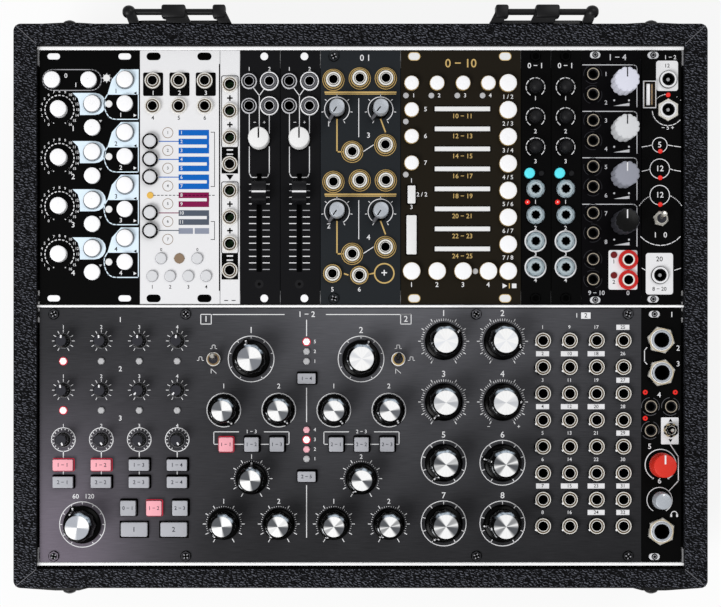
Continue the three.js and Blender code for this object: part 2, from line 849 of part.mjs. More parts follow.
// Gate module: two like channels of sockets and knobs, and a pair of output sockets.
function gateModule() {
  const unit = new Module3U("gate_panel", 8, colours.slate);
  const channelShare = 0.402;
  const edgeShare = screwLine / panelHeight;
  const channelSocketShares = [
    [0.16, 0.116],
    [0.4906, 0.1102],
    [0.8177, 0.1102],
    [0.8115, 0.3725],
    [0.3958, 0.3992],
  ];
  const knobColumnShares = [0.2047, 0.7516];
  const knobRowShare = 0.2322;
  const outputShares = [
    [0.1473, 0.8792],
    [0.4844, 0.8859],
  ];
  const pointers = [-148, -140, -144, -148];
  for (const y of [edgeShare, 1 - edgeShare]) unit.screw([0.166, y]);
  for (const share of outputShares) unit.socket(share, wideNut);
  for (let i = 0; i < 2; i++) {
    for (const [x, y] of channelSocketShares) unit.socket([x, y + i * channelShare], wideNut);
    knobColumnShares.forEach((column, j) => {
      const share = [column, knobRowShare + i * channelShare];
      const [x, y] = unit.place(share);
      const tip = gateKnob.skirt + gateNoseReach;
      const nose = raised(
        [
          [-gateNoseWidth / 2, 0],
          [gateNoseWidth / 2, 0],
          [gateNoseWidth / 2, tip],
          [-gateNoseWidth / 2, tip],
        ],
        panelThickness / 2,
        gateKnob.height / 2,
      );
      const body = joined([roundKnob(gateKnob, smallKnobSides).translate([0, 0, panelThickness / 2]), nose]);
      unit.adds.push(body.rotate([0, 0, -pointers[2 * i + j]]).translate([x, y, 0]));
    });
  }
  return unit;
}

// Sequencer module: round caps down both sides and below, and eight long light slots.
function sequencerModule() {
  const unit = new Module3U("sequencer_panel", 12, colours.brown);
  const slotShares = [0.1107, 0.87];
  const columnShares = [0.0883, 0.3006, 0.5171, 0.7277];
  const sideColumnShare = 0.8926;
  const firstRowShare = 0.1302;
  const rowPitchShare = 0.10566;
  const barShares = { across: 0.5129, first: 0.2302, pitch: 0.0788, length: 0.4646, height: 0.0188 };
  const edgeShare = screwLine / panelHeight;
  for (const x of slotShares) {
    for (const y of [edgeShare, 1 - edgeShare]) unit.slot([x, y], shortSlotLength, shortSlotHeight);
  }
  for (const x of columnShares) {
    unit.stud([x, firstRowShare], smallDisc, discHeight);
    unit.stud([x, firstRowShare + 7 * rowPitchShare], wideDisc, discHeight);
  }
  for (let i = 0; i < 8; i++) {
    unit.stud([sideColumnShare, firstRowShare + i * rowPitchShare], wideDisc, discHeight);
  }
  for (let i = 1; i < 4; i++) {
    unit.stud([columnShares[0], firstRowShare + i * (rowPitchShare - 0.001)], smallDisc, discHeight);
  }
  const bar = [barShares.length * unit.width, barShares.height * panelHeight];
  for (let i = 0; i < 8; i++) {
    unit.window([barShares.across, barShares.first + i * barShares.pitch], bar);
  }
  unit.key([0.0878, 0.5682], [0.066 * unit.width, 0.0706 * panelHeight], discHeight / 2);
  unit.key([0.0878, 0.7267], [0.083 * unit.width, 0.1537 * panelHeight], discHeight / 2);
  return unit;
}

// Effects module: three small knobs, a button and four sockets in one column.
function effectsModule(letter) {
  const unit = new Module3U("effects_panel_" + letter, 3, colours.black);
  const columnShare = 0.479;
  const edgeShare = screwLine / panelHeight;
  for (const y of [edgeShare, 1 - edgeShare]) unit.screw([columnShare, y]);
  for (let i = 0; i < 3; i++) {
    unit.stud([columnShare, 0.1443 + i * 0.1183], effectKnobRadius, effectKnobHeight);
  }
  unit.stud([0.27, 0.4843], effectKnobRadius, discHeight);
  for (let i = 0; i < 4; i++) unit.socket([columnShare, 0.5455 + i * 0.1029], wideNut);
  return unit;
}

// Mixer module: four channels, each with two sockets and a lobed knob, and four sockets below.
function mixerModule() {
  const unit = new Module3U("mixer_panel", 6, colours.black);
  const channelShare = 0.182;
  const knobColours = [colours.white, colours.paleGrey, colours.midGrey, colours.black];
  for (let i = 0; i < 5; i++) {
    for (const y of [0.0945, 0.1735]) {
      unit.socket([0.188, y + i * channelShare], slimNut, slimNutHeight);
    }
  }
  for (const y of [0.8247, 0.9043]) unit.socket([0.779, y], wideNut);
  for (let i = 0; i < 4; i++) {
    const share = [0.694, 0.1298 + i * 0.183];
    unit.knob("mixer_knob_" + (i + 1), lobedKnob(), knobColours[i], share);
  }
  return unit;
}

// Power module: three power sockets, a charging port and the power switch.
function powerModule() {
  const unit = new Module3U("power_panel", 4, colours.black);
  const portShares = { across: 0.19, down: 0.1747, width: 0.27, length: 0.1 };
  const tongueShare = 0.3; // of the port's width
  unit.powerSocket([0.664, 0.1149]);
  unit.powerSocket([0.664, 0.2341], powerNut);
  unit.powerSocket([0.457, 0.8855]);
  const port = [portShares.width * unit.width, portShares.length * panelHeight];
  const centre = [portShares.across, portShares.down];
  unit.key(centre, port, slimNutHeight);
  const [x, y] = unit.place(centre);
  const mouth = [port[0] - 2 * powerPin, port[1] - 2 * powerPin];
  const well = block(mouth[0], mouth[1], panelThickness + 2 * overrun, x, y, panelThickness / 2);
  const tongueX = x + mouth[0] * (0.5 - tongueShare / 2);
  unit.cuts.push(well.subtract(block(mouth[0] * tongueShare, mouth[1], panelThickness, tongueX, y, 0)));
  unit.toggle("power_toggle", [0.4744, 0.6631], toggleTilt);
  return unit;
}

// Voice module: sequencer knobs and keys on the left, two oscillator groups in the middle, eight
// large knobs beside them and the patch field on the right.
function voiceModule() {
  const unit = new Module3U("voice_panel", 60, colours.charcoal);
  const screwColumnShares = [0.0235, 0.243, 0.7258, 0.978];
  const edgeShare = screwLine / panelHeight;
  const stepColumnShare = 0.0393;
  const stepPitchShare = 0.0631;
  const stepRowShares = [0.1288, 0.3227, 0.5175];
  const stepKeyRowShares = [0.6172, 0.6851];
  const lampRowShares = [0.2085, 0.4024];
  const subColumnShare = 0.306;
  const subPitchShare = 0.0915;
  const assignShares = [0.3099, 0.3523, 0.3944, 0.4927, 0.5348, 0.5774];
  const centreShare = 0.4437;
  const centreLampShares = [0.1319, 0.1704, 0.2093, 0.479, 0.5175, 0.5556, 0.5933];
  const socketColumnShare = 0.8361;
  const socketColumnPitchShare = 0.0445;
  const socketRowShare = 0.1276;
  const socketRowPitchShare = 0.1042;

  for (const x of screwColumnShares) for (const y of [edgeShare, 1 - edgeShare]) unit.screw([x, y]);
  for (let i = 0; i < 4; i++) {
    const x = stepColumnShare + i * stepPitchShare;
    for (const y of stepRowShares) {
      unit.stud([x, y], stepKnobSkirt, stepKnobSkirtHeight);
      unit.stud([x, y], stepKnobRadius, stepKnobHeight);
    }
    for (const y of stepKeyRowShares) unit.key([x, y], stepKey);
    for (const y of lampRowShares) unit.stud([x, y], lampRadius, lampHeight, fewSides);
  }
  for (const x of [0.1475, 0.1905, 0.2336]) unit.key([x, 0.7868], squareKey);
  for (const x of assignShares) unit.key([x, 0.5363], assignKey);
  for (const y of [0.2772, 0.6627]) unit.key([centreShare, y], centreKey);
  for (const y of centreLampShares) unit.stud([centreShare, y], lampRadius, lampHeight, fewSides);
  for (let i = 0; i < 4; i++) {
    for (let j = 0; j < 8; j++) {
      const x = socketColumnShare + i * socketColumnPitchShare;
      unit.socket([x, socketRowShare + j * socketRowPitchShare]);
    }
  }

  const large = () => skirtedKnob(largeKnob, knobSides);
  const medium = () => skirtedKnob(mediumKnob, smallKnobSides);
  unit.knob("tempo_knob", large(), colours.black, [0.0708, 0.852], -30);
  unit.knob("oscillator_knob_1", large(), colours.black, [0.3515, 0.1998], -16);
  unit.knob("oscillator_knob_2", large(), colours.black, [0.5343, 0.1998], 24);
  unit.toggle("wave_toggle_1", [0.2892, 0.2006], toggleTilt);
  unit.toggle("wave_toggle_2", [0.5961, 0.2006], toggleTilt);

  const dividerPointers = [150, 147, 147, 143];
  const subLevelPointers = [-144, -147, -150, -146];
  for (let i = 0; i < 4; i++) {
    const x = subColumnShare + i * subPitchShare;
    unit.knob("divider_knob_" + (i + 1), medium(), colours.black, [x, 0.4013], dividerPointers[i]);
    unit.knob("sub_level_knob_" + (i + 1), medium(), colours.black, [x, 0.85], subLevelPointers[i]);
  }
  unit.knob("level_knob_1", medium(), colours.black, [0.3523, 0.6712], 0);
  unit.knob("level_knob_2", medium(), colours.black, [0.5346, 0.6712], -150);

  const filterKnobs = [
    ["cutoff_knob", "volume_knob"],
    ["resonance_knob", "amount_knob"],
    ["filter_attack_knob", "filter_decay_knob"],
    ["level_attack_knob", "level_decay_knob"],
  ];
  const filterPointers = [
    [55, 108],
    [-150, 89],
    [-150, -79],
    [-150, -98],
  ];
  const filterColumnShares = [0.6716, 0.7694];
  filterKnobs.forEach((names, row) => {
    names.forEach((name, column) => {
      const share = [filterColumnShares[column], 0.13 + row * 0.2393];
      unit.knob(name, large(), colours.black, share, filterPointers[row][column]);
    });
  });

  const keyShares = { play_key: [0.1575, 0.8708], trigger_key: [0.2233, 0.8708] };
  for (const [name, share] of Object.entries(keyShares)) {
    unit.window(share, playKey);
    unit.carry(name, movingKey(playKey), colours.key, share, panelThickness);
  }
  return unit;
}

// Output module: three quarter inch sockets, three patch sockets, a switch and two knobs.
function outputModule() {
  const unit = new Module3U("output_panel", 4, colours.black);
  for (const y of [0.1256, 0.254, 0.8779]) unit.bigSocket([0.475, y]);
  for (const share of [
    [0.22, 0.3871],
    [0.729, 0.3871],
    [0.22, 0.4809],
  ]) {
    unit.socket(share, slimNut, slimNutHeight);
  }
  unit.toggleBase([0.729, 0.48]);
  unit.knob("output_knob", joined([roundKnob(redKnob, knobSides), shaft()]), colours.red, [0.479, 0.6172]);
  unit.knob(
    "phones_knob",
    joined([roundKnob(phonesKnob, smallKnobSides), shaft()]),
    colours.midGrey,
    [0.46, 0.7554],
  );
  return unit;
}

// Lays modules side by side along a row, from the left.
function row(modules, y) {
  const group = new THREE.Group();
  let units = 0;
  for (const unit of modules) {
    const made = unit.group();
    made.position.set((units + unit.units / 2 - rowUnits / 2) * hp, 0, 0);
    group.add(made);
    units += unit.units;
  }
  group.position.set(0, y, panelBack);
  return group;
}

const synthesizer = new THREE.Group();
synthesizer.add(piece("case_box", caseBox(), colours.covering, 0.85));
synthesizer.add(...rails());
for (const [word, x] of [
  ["left", -1],
  ["right", 1],
]) {
  synthesizer.add(hingeHalf("hinge_" + word, x));
  for (const [end, y] of [
    ["upper", caseTop - footInset],
    ["lower", caseBottom + footInset],
  ]) {
    synthesizer.add(foot(`foot_${end}_${word}`, x * (caseWidth / 2 - footInset), y));
  }
}
synthesizer.add(powerBus());
synthesizer.add(
  row(
    [
      clockModule(),
      quantizerModule(),
      sumModule(),
      faderModule("a"),
      faderModule("b"),
      gateModule(),
      sequencerModule(),
      effectsModule("a"),
      effectsModule("b"),
      mixerModule(),
      powerModule(),
    ],
    rowPitch / 2,
  ),
);
synthesizer.add(row([voiceModule(), outputModule()], -rowPitch / 2));

// The origin is under the middle of the whole, hinges and rivets included.
synthesizer.position.y = -(caseTop + hingeReach + caseBottom - lowerPlate.rivetHeight) / 2;

export default synthesizer;
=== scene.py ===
"""Looks of a two row modular synthesizer in a covered case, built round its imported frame.

Shapes are made in millimetres and turned into metres when a piece is finished. Places on a panel are
shares of its width, from the left, and of its height, from the top. Angles on a panel are clockwise
degrees from straight up.
"""

import json
import logging
import math
from collections.abc import Callable, Iterable
from dataclasses import dataclass
from functools import cache, partial
from itertools import pairwise

import bmesh
import bpy
from mathutils import Matrix, Vector


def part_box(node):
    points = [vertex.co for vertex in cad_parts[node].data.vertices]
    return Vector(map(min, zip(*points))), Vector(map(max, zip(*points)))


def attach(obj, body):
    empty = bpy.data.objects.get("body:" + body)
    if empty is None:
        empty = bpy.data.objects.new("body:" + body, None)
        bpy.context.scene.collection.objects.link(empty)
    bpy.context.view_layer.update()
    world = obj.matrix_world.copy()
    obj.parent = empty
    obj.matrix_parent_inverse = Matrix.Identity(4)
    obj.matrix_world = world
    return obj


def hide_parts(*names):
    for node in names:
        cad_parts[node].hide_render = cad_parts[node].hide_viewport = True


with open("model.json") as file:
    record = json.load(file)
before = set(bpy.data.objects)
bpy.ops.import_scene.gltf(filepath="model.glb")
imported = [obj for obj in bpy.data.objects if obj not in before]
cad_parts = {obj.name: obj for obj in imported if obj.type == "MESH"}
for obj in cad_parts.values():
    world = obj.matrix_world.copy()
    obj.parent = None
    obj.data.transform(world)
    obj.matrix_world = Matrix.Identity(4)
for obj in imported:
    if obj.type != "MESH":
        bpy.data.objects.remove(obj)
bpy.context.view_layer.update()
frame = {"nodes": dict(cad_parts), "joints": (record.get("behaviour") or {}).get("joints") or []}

LOG = logging.getLogger("synthesizer")
MM = 0.001
GAMMA = 2.2
FULL_TURN = 360.0
SMOOTH_ANGLE = 32.0
KNOB_REACH = 150.0  # each way from straight up, in degrees
KNOB_SWEEP = (-KNOB_REACH, 2 * KNOB_REACH)  # the start and the length of a scale's arc

Tint = tuple[float, float, float]
Share = tuple[float, float]
Profile = tuple[tuple[float, float], ...]


class Signal:
    """A number socket of a shader, on which Python's operators add Math nodes."""

    def __init__(self, graph: "Graph", socket: bpy.types.NodeSocket) -> None:
        """Wraps one socket.

        Args:
            graph: The graph that the socket belongs to.
            socket: The output socket.
        """
        self.graph = graph
        self.socket = socket

    def math(self, operation: str, *others: "Signal | float") -> "Signal":
        """Adds one Math node.

        Args:
            operation: The Math node's operation.
            others: Its second and third values, where it has them.

        Returns:
            The node's result.
        """
        values = dict(enumerate((self, *others)))
        return self.graph.value("ShaderNodeMath", {"operation": operation}, values)

    def __add__(self, other: "Signal | float") -> "Signal":
        """Adds."""
        return self.math("ADD", other)

    def __mul__(self, other: "Signal | float") -> "Signal":
        """Multiplies."""
        return self.math("MULTIPLY", other)

    def __sub__(self, other: "Signal | float") -> "Signal":
        """Subtracts."""
        return self.math("SUBTRACT", other)

    def __rsub__(self, other: float) -> "Signal":
        """Subtracts from a number."""
        return (self * -1.0) + other

    __radd__ = __add__
    __rmul__ = __mul__

    def bell(self, middle: float, rate: float) -> "Signal":
        """Gives a bell curve round a middle, narrower at a higher rate."""
        off = (self - middle) * rate
        return (off * off * -0.5).math("EXPONENT")

    def between(self, low: float, high: float, start: float = 0.0, end: float = 1.0) -> "Signal":
        """Maps a range smoothly onto another.

        Args:
            low: The value that gives start.
            high: The value that gives end.
            start: The result at low and below.
            end: The result at high and above.

        Returns:
            The mapped value.
        """
        values = {"Value": self, "From Min": low, "From Max": high, "To Min": start, "To Max": end}
        return self.graph.value("ShaderNodeMapRange", {"interpolation_type": "SMOOTHSTEP"}, values)


class Graph:
    """The node tree of one material."""

    def __init__(self, name: str) -> None:
        """Makes a material with one Principled BSDF.

        Args:
            name: The material's name.
        """
        self.material = bpy.data.materials.new(name)
        self.material.use_nodes = True
        self.nodes = self.material.node_tree.nodes
        self.links = self.material.node_tree.links
        self.shader = self.nodes["Principled BSDF"]
        self.spot = self.node("ShaderNodeTexCoord").outputs["Object"]

    def node(
        self, kind: str, settings: dict[str, object] | None = None, values: dict | None = None
    ) -> bpy.types.Node:
        """Adds a node.

        Args:
            kind: The node's type.
            settings: Its own properties, set first.
            values: Numbers, colours, sockets or signals for its inputs, by name or number.

        Returns:
            The node.
        """
        made = self.nodes.new(kind)
        for key, value in (settings or {}).items():
            setattr(made, key, value)
        for key, value in (values or {}).items():
            self.feed(made.inputs[key], value)
        return made

    def feed(self, socket: bpy.types.NodeSocket, value: object) -> None:
        """Sets an input, or links it."""
        if isinstance(value, Signal):
            value = value.socket
        if isinstance(value, bpy.types.NodeSocket):
            self.links.new(value, socket)
        else:
            socket.default_value = value

    def value(self, kind: str, settings: dict, values: dict) -> Signal:
        """Adds a node and wraps its first output as a number."""
        return Signal(self, self.node(kind, settings, values).outputs[0])

    def mapped(
        self, sizes: Tint, turn: float = 0.0, shift: Share = (0.0, 0.0), spot: object = None
    ) -> bpy.types.NodeSocket:
        """Measures places in a pattern's own units.

        Args:
            sizes: The length of one unit along each axis in millimetres.
            turn: How far the pattern is turned round Z in degrees.
            shift: How far it is moved along X and Y in millimetres.
            spot: The places, where they aren't the object's own.

        Returns:
            The measured places.
        """
        values = {
            "Vector": spot or self.spot,
            "Location": (shift[0] * MM, shift[1] * MM, 0.0),
            "Rotation": (0.0, 0.0, math.radians(turn)),
            "Scale": [size * MM for size in sizes],
        }
        return self.node("ShaderNodeMapping", {"vector_type": "TEXTURE"}, values).outputs[0]

    def noise(self, size: float, stretch: Tint = (1.0, 1.0, 1.0), detail: float = 3.0) -> Signal:
        """Makes a cloudy pattern from 0 to 1.

        Args:
            size: The size of its blots in millimetres.
            stretch: How far it is drawn out along each axis.
            detail: How many finer layers it has.

        Returns:
            The pattern.
        """
        where = self.mapped(tuple(size * part for part in stretch))
        values = {"Vector": where, "Scale": 1.0, "Detail": detail}
        return self.value("ShaderNodeTexNoise", {}, values)

    def warped(self, size: float, reach: float) -> bpy.types.NodeSocket:
        """Gives the object's places, pushed about by blots of a size, both in millimetres."""
        values = {"Vector": self.mapped((size, size, size)), "Scale": 1.0, "Detail": 2.0}
        drift = self.node("ShaderNodeTexNoise", None, values).outputs["Color"]
        reaches = (reach * MM, reach * MM, reach * MM)
        values = {0: drift, 1: reaches, 2: tuple(-part / 2 for part in reaches)}
        push = self.node("ShaderNodeVectorMath", {"operation": "MULTIPLY_ADD"}, values)
        values = {0: self.spot, 1: push.outputs[0]}
        return self.node("ShaderNodeVectorMath", {"operation": "ADD"}, values).outputs[0]

    def cells(self, where: bpy.types.NodeSocket) -> Signal:
        """Makes a pattern of cells, as the distance to their edges."""
        values = {"Vector": where, "Scale": 1.0}
        return self.value("ShaderNodeTexVoronoi", {"feature": "DISTANCE_TO_EDGE"}, values)

    def sector(self, angle: Signal, middle: float, spread: float, soft: float = 8.0) -> Signal:
        """Masks a sector round an axis.

        Args:
            angle: The angle round the axis in radians.
            middle: The sector's middle in degrees.
            spread: Half its width in degrees.
            soft: The width of its soft edges in degrees.

        Returns:
            1 inside and 0 outside.
        """
        off = (angle - math.radians(middle)).math("COSINE")
        low, high = (math.cos(math.radians(max(0.0, spread + side * soft / 2))) for side in (1, -1))
        return off.between(low, high)

    def axis(self, name: str, centre: Vector | None = None) -> Signal:
        """Reads X, Y or Z of the object's own space, counted from a centre in metres."""
        values = {0: self.spot, 1: tuple(centre or (0.0, 0.0, 0.0))}
        moved = self.node("ShaderNodeVectorMath", {"operation": "SUBTRACT"}, values)
        parts = self.node("ShaderNodeSeparateXYZ", None, {0: moved.outputs[0]})
        return Signal(self, parts.outputs[name])

    def around(self, centre: tuple[float, float, float]) -> tuple[Signal, Signal]:
        """Gives the angle and the radius round an upright axis through a place in metres."""
        x, y = self.axis("X", Vector(centre)), self.axis("Y", Vector(centre))
        return y.math("ARCTAN2", x), (x * x + y * y).math("SQRT")

    def mix(self, factor: Signal, low: object, high: object) -> bpy.types.NodeSocket:
        """Mixes two colours.

        Args:
            factor: 0 for low, 1 for high.
            low: A colour or a colour socket.
            high: A colour or a colour socket.

        Returns:
            The mixed colour's socket.
        """
        made = self.node("ShaderNodeMix", {"data_type": "RGBA"}, {"Factor": factor})
        self.feed(made.inputs[6], low)
        self.feed(made.inputs[7], high)
        return made.outputs[2]

    def shade(self, **inputs: object) -> None:
        """Feeds inputs of the shader, named with underscores for their spaces."""
        for name, value in inputs.items():
            self.feed(self.shader.inputs[name.replace("_", " ")], value)

    def bump(self, height: Signal, depth: float) -> None:
        """Gives the shader a bump whose full height is a depth in millimetres."""
        made = self.node("ShaderNodeBump", None, {"Height": height, "Distance": depth * MM})
        self.shade(Normal=made.outputs[0])


def linear(tint: Tint, gain: float = 1.0) -> tuple[float, float, float, float]:
    """Turns a display colour from 0 to 255 into a linear colour.

    Args:
        tint: Red, green and blue.
        gain: What the linear colour is multiplied by.

    Returns:
        The colour with an alpha of 1.
    """
    parts = [min(1.0, gain * (part / 255) ** GAMMA) for part in tint]
    return (parts[0], parts[1], parts[2], 1.0)


@dataclass(frozen=True)
class Finish:
    """A surface of one colour with a fine mottle that also varies its roughness and its bump.

    Attributes:
        name: The material's name.
        tint: The display colour.
        roughness: The mean roughness.
        metallic: 1 for bare metal.
        specular: The shader's specular level.
        grain: The size of the mottle in millimetres.
        mottle: How far the mottle darkens and lightens the colour, as a share.
        relief: The bump's depth in millimetres.
        glow: The strength of the light that it gives off.
    """

    name: str
    tint: Tint
    roughness: float = 0.5
    metallic: float = 0.0
    specular: float = 0.3
    grain: float = 0.6
    mottle: float = 0.08
    relief: float = 0.01
    glow: float = 0.0

    @cache
    def material(self) -> bpy.types.Material:
        """Makes the material, once."""
        graph = Graph(self.name)
        self.dress(graph)
        graph.shade(Metallic=self.metallic, Specular_IOR_Level=self.specular)
        if self.glow:
            graph.shade(Emission_Color=linear(self.tint), Emission_Strength=self.glow)
        return graph.material

    def dress(self, graph: Graph) -> None:
        """Links colour, roughness and bump to the mottle."""
        cloud = graph.noise(self.grain)
        dark, light = linear(self.tint, 1 - self.mottle), linear(self.tint, 1 + self.mottle)
        self.cover(graph, graph.mix(cloud, dark, light), cloud)

    def cover(self, graph: Graph, colour: object, pattern: Signal, most: float = 1.15) -> None:
        """Links a colour, and a pattern to the roughness, up to a share of it, and to the bump."""
        rough = pattern.between(0.3, 0.7, self.roughness * 0.85, self.roughness * most)
        graph.shade(Base_Color=colour, Roughness=rough)
        graph.bump(pattern, self.relief)


@dataclass(frozen=True)
class Brushed(Finish):
    """Metal with fine scratches along X, darker towards the bottom, with a painted sheen at the top middle
    and a tinted painted glare at the lower left corner.

    Attributes:
        streak: The length of the scratches in millimetres.
        sheet: The node that the tones are spread over.
        blush: What the red, green and blue of the painted glare at the lower left corner are multiplied by.
    """

    streak: float = 30.0
    sheet: str = "voice_panel"
    blush: Tint = (1.12, 0.96, 1.2)

    def dress(self, graph: Graph) -> None:
        """Adds the scratches, a darkening towards the bottom, and painted reflections: a pale band at the top
        middle and a tinted glare up the left edge.
        """
        low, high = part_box(self.sheet)
        across = (graph.axis("X") - low.x) * (1 / (high.x - low.x))
        down = (graph.axis("Y") * -1.0 + high.y) * (1 / (high.y - low.y))
        # Painted reflections: a pale band round the top middle, and a tinted glare up the left edge that is
        # strongest at the bottom.
        top_sheen = across.bell(0.62, 3.9)
        corner = across.bell(0.02, 8.0) * down.between(0.03, 1.0)
        scratch = graph.noise(self.grain, (self.streak, 1.0, 1.0), 4.0)
        level = down * -14.0 + 47.0 + top_sheen * (44.0 - down * 34.0) + corner * 70.0
        level = level + (scratch - 0.5) * 26.0
        light = (level * (1 / 255)).math("MAXIMUM", 0.0).math("POWER", GAMMA)
        tint = graph.mix(corner, (0.975, 0.98, 1.09, 1.0), (*self.blush, 1.0))
        tone = graph.mix(light, (0.0, 0.0, 0.0, 1.0), tint)
        self.cover(graph, tone, scratch, 1.2)


@dataclass(frozen=True)
class Covering(Finish):
    """Pebbled cloth covering, with painted shade on the sides of its pebbles that face away from the light
    and painted highlights on those that face it, both weaker below the rim.

    Attributes:
        pebble: The size of its pebbles in millimetres.
        stretch: How much longer than wide they are.
        turn: How far their length is turned from X in degrees.
        lean: The offset in millimetres from a pebble's painted shaded side to its painted lit side, which
            sets where the painted light comes from.
        lit: The display colour of the painted highlights.
        calm: How much of the painted shade and highlights is left below the rim.
    """

    pebble: float = 1.15
    stretch: float = 2.2
    turn: float = -14.0
    lean: Share = (0.22, 0.34)
    lit: Tint = (88, 90, 98)
    calm: float = 0.4

    def dress(self, graph: Graph) -> None:
        """Makes the pebbles and paints light and shade on them as if lit from one side."""
        sizes = (self.pebble * self.stretch, self.pebble, self.pebble)
        bent = graph.warped(self.pebble * 1.6, self.pebble * 1.5)
        rise, behind = (
            graph.cells(graph.mapped(sizes, self.turn, shift, bent)).between(0.0, 0.34)
            for shift in ((0.0, 0.0), self.lean)
        )
        # How far each pebble rises towards the painted light; it sets the painted shade and highlights.
        slope = rise - behind
        fine = graph.noise(self.pebble * 0.3)
        base = graph.mix(fine, linear(self.tint, 0.6), linear(self.tint, 1.4))
        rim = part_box("case_box")[1].z
        share = graph.axis("Z").between(rim - 3.0 * MM, rim - 0.5 * MM, self.calm, 1.0)
        # Painted shade, near black, on the sides that face away from the light.
        dark = slope.between(-0.5, -0.05, 0.85, 0.0) * share
        shade = graph.mix(dark, base, (0.0016, 0.0016, 0.002, 1.0))
        # Painted highlights on the sides that face the light.
        shade = graph.mix(slope.between(0.06, 0.8) * share, shade, linear(self.lit))
        graph.shade(Base_Color=shade, Roughness=rise.between(0.0, 1.0, 0.75, self.roughness))
        graph.bump(rise, self.relief)


ink = partial(Finish, roughness=0.6, specular=0.1)
light_ink = partial(ink, mottle=0.02)
paint = partial(Finish, roughness=0.6, grain=0.4)
plastic = partial(Finish, roughness=0.45, specular=0.2, grain=0.8, mottle=0.03)
metal = partial(Finish, grain=0.4)

BLACK_PAINT = paint("black_paint", (3, 3, 4), specular=0.06)
SLATE_PAINT = paint("slate_paint", (22, 22, 24), specular=0.08)
GATE_PAINT = Finish("gate_paint", (36, 39, 42), 0.6, specular=0.1, grain=0.5, mottle=0.25)
BROWN_PAINT = paint("brown_paint", (32, 28, 21), specular=0.08)
PLUM_PAINT = paint("plum_paint", (6, 4, 9), specular=0.06)
SILVER_PAINT = Finish("silver_paint", (222, 222, 224), 0.45, specular=0.2, grain=0.5, mottle=0.03)
CHARCOAL_METAL = Brushed("charcoal_metal", (44, 44, 49), 0.5, specular=0.1, grain=0.28, relief=0.006)
COVERING = Covering("pebbled_covering", (13, 13, 15), 0.5, specular=0.08, relief=0.25)
SEAM = ink("covering_seam", (104, 104, 108))
# A grey finish for the rail strips and the jack pins, and also for the grey band of painted shade on the
# upper rail's bevel.
RAIL_GREY = Finish("rail_bevel", (150, 150, 152), 0.4, 0.25, grain=0.3)
HINGE_METAL = Finish("hinge_steel", (15, 15, 17), 0.4, specular=0.25, grain=0.4)
# The rails give off a faint light, a painted glow, though they are no lamps.
GLOWING_RAIL_METAL = Finish("anodised_rail_painted_glow", (250, 250, 251), 0.5, grain=0.3, mottle=0.02, glow=0.06)
BLACK_METAL = Finish("black_steel", (12, 12, 13), 0.35, 0.2, specular=0.4, grain=0.4)
RUBBER = Finish("rubber", (24, 24, 24), 0.85, grain=0.5, mottle=0.15)
BOARD_GREEN = Finish("board_green", (34, 84, 48), 0.5, grain=1.5)
SOCKET_GREEN = Finish("socket_green", (24, 62, 22), 0.6, grain=1.0)
KNOB_BLACK = Finish("knob_black", (2, 2, 2), 0.25, specular=0.2, grain=1.2, relief=0.002)
KNOB_SATIN = Finish("knob_satin", (26, 26, 28), 0.5, specular=0.15, grain=0.5)
STEEL = Finish("bright_steel", (238, 236, 231), 0.3, 0.35, grain=0.4, relief=0.004)
CHROME = Finish("chrome", (216, 213, 205), 0.2, 0.9, grain=0.5, relief=0.004)
BROWN_METAL = metal("brown_ring", (150, 126, 92), 0.35, 0.4)
DIM_STEEL = metal("dim_steel", (172, 162, 146), 0.35, 0.3)
BRASSY = metal("brassy_ring", (200, 184, 150), 0.3, 0.5)
GOLD = metal("gold_ring", (206, 176, 116), 0.3, 0.5)
BLUED = metal("blued_ring", (150, 166, 174), 0.35, 0.3)
BLUED_LIGHT = metal("blued_flats", (178, 192, 198), 0.35, 0.3)
SILVER_METAL = metal("silver_nut", (238, 235, 228), 0.3, 0.25)
NUT_METAL = metal("nut_metal", (208, 205, 197), 0.3, 0.4)
RED_RING = Finish("red_ring", (206, 40, 36), 0.4, grain=0.4)
SCREW_BLACK = Finish("screw_black", (5, 5, 5), 0.35, specular=0.06, grain=0.4)
DARK_NUT = metal("dark_nut", (14, 14, 15), 0.25, 0.5)
BORE_BLACK = Finish("bore_black", (3, 3, 3), 0.8, specular=0.03)
CAP_WHITE = plastic("cap_white", (240, 240, 242), mottle=0.02)
CAP_PALE = plastic("cap_pale", (206, 207, 210))
CAP_LIGHT = plastic("cap_light", (226, 226, 226), specular=0.1)
CAP_LILAC = Finish("cap_lilac", (212, 213, 226), 0.45, specular=0.1, grain=0.8, mottle=0.02)
CAP_SILVER = Finish("cap_silver", (172, 177, 184), 0.3, 0.2, grain=0.8, mottle=0.03)
KEY_INK = ink("key_ink", (48, 50, 58))
KNOB_TOP = Finish("knob_top", (50, 50, 55), 0.5, specular=0.1, grain=0.5)
LAMP_CORE = Finish("lamp_core", (96, 12, 12), 0.4, grain=0.4)
CAP_GREY = plastic("cap_grey", (142, 144, 155))
CAP_RED = Finish("cap_red", (206, 50, 38), 0.4, specular=0.25, grain=0.8, mottle=0.03)
CAP_CYAN = Finish("cap_cyan", (84, 214, 226), 0.4, grain=0.8, mottle=0.03, glow=0.15)
CAP_BROWN = Finish("cap_brown", (132, 112, 92), 0.5, grain=0.8)
CAP_AMBER = Finish("cap_amber", (214, 170, 80), 0.4, grain=0.8, glow=0.1)
KEY_GREY = Finish("key_grey", (166, 167, 173), 0.5, specular=0.15, mottle=0.03)
KEY_PINK = Finish("key_pink", (226, 158, 168), 0.5, specular=0.15, mottle=0.03, glow=0.08)
LAMP_OFF = Finish("lamp_off", (176, 176, 178), 0.4, mottle=0.04)
LAMP_LIT = Finish("lamp_lit", (255, 246, 246), 0.4, glow=0.5)
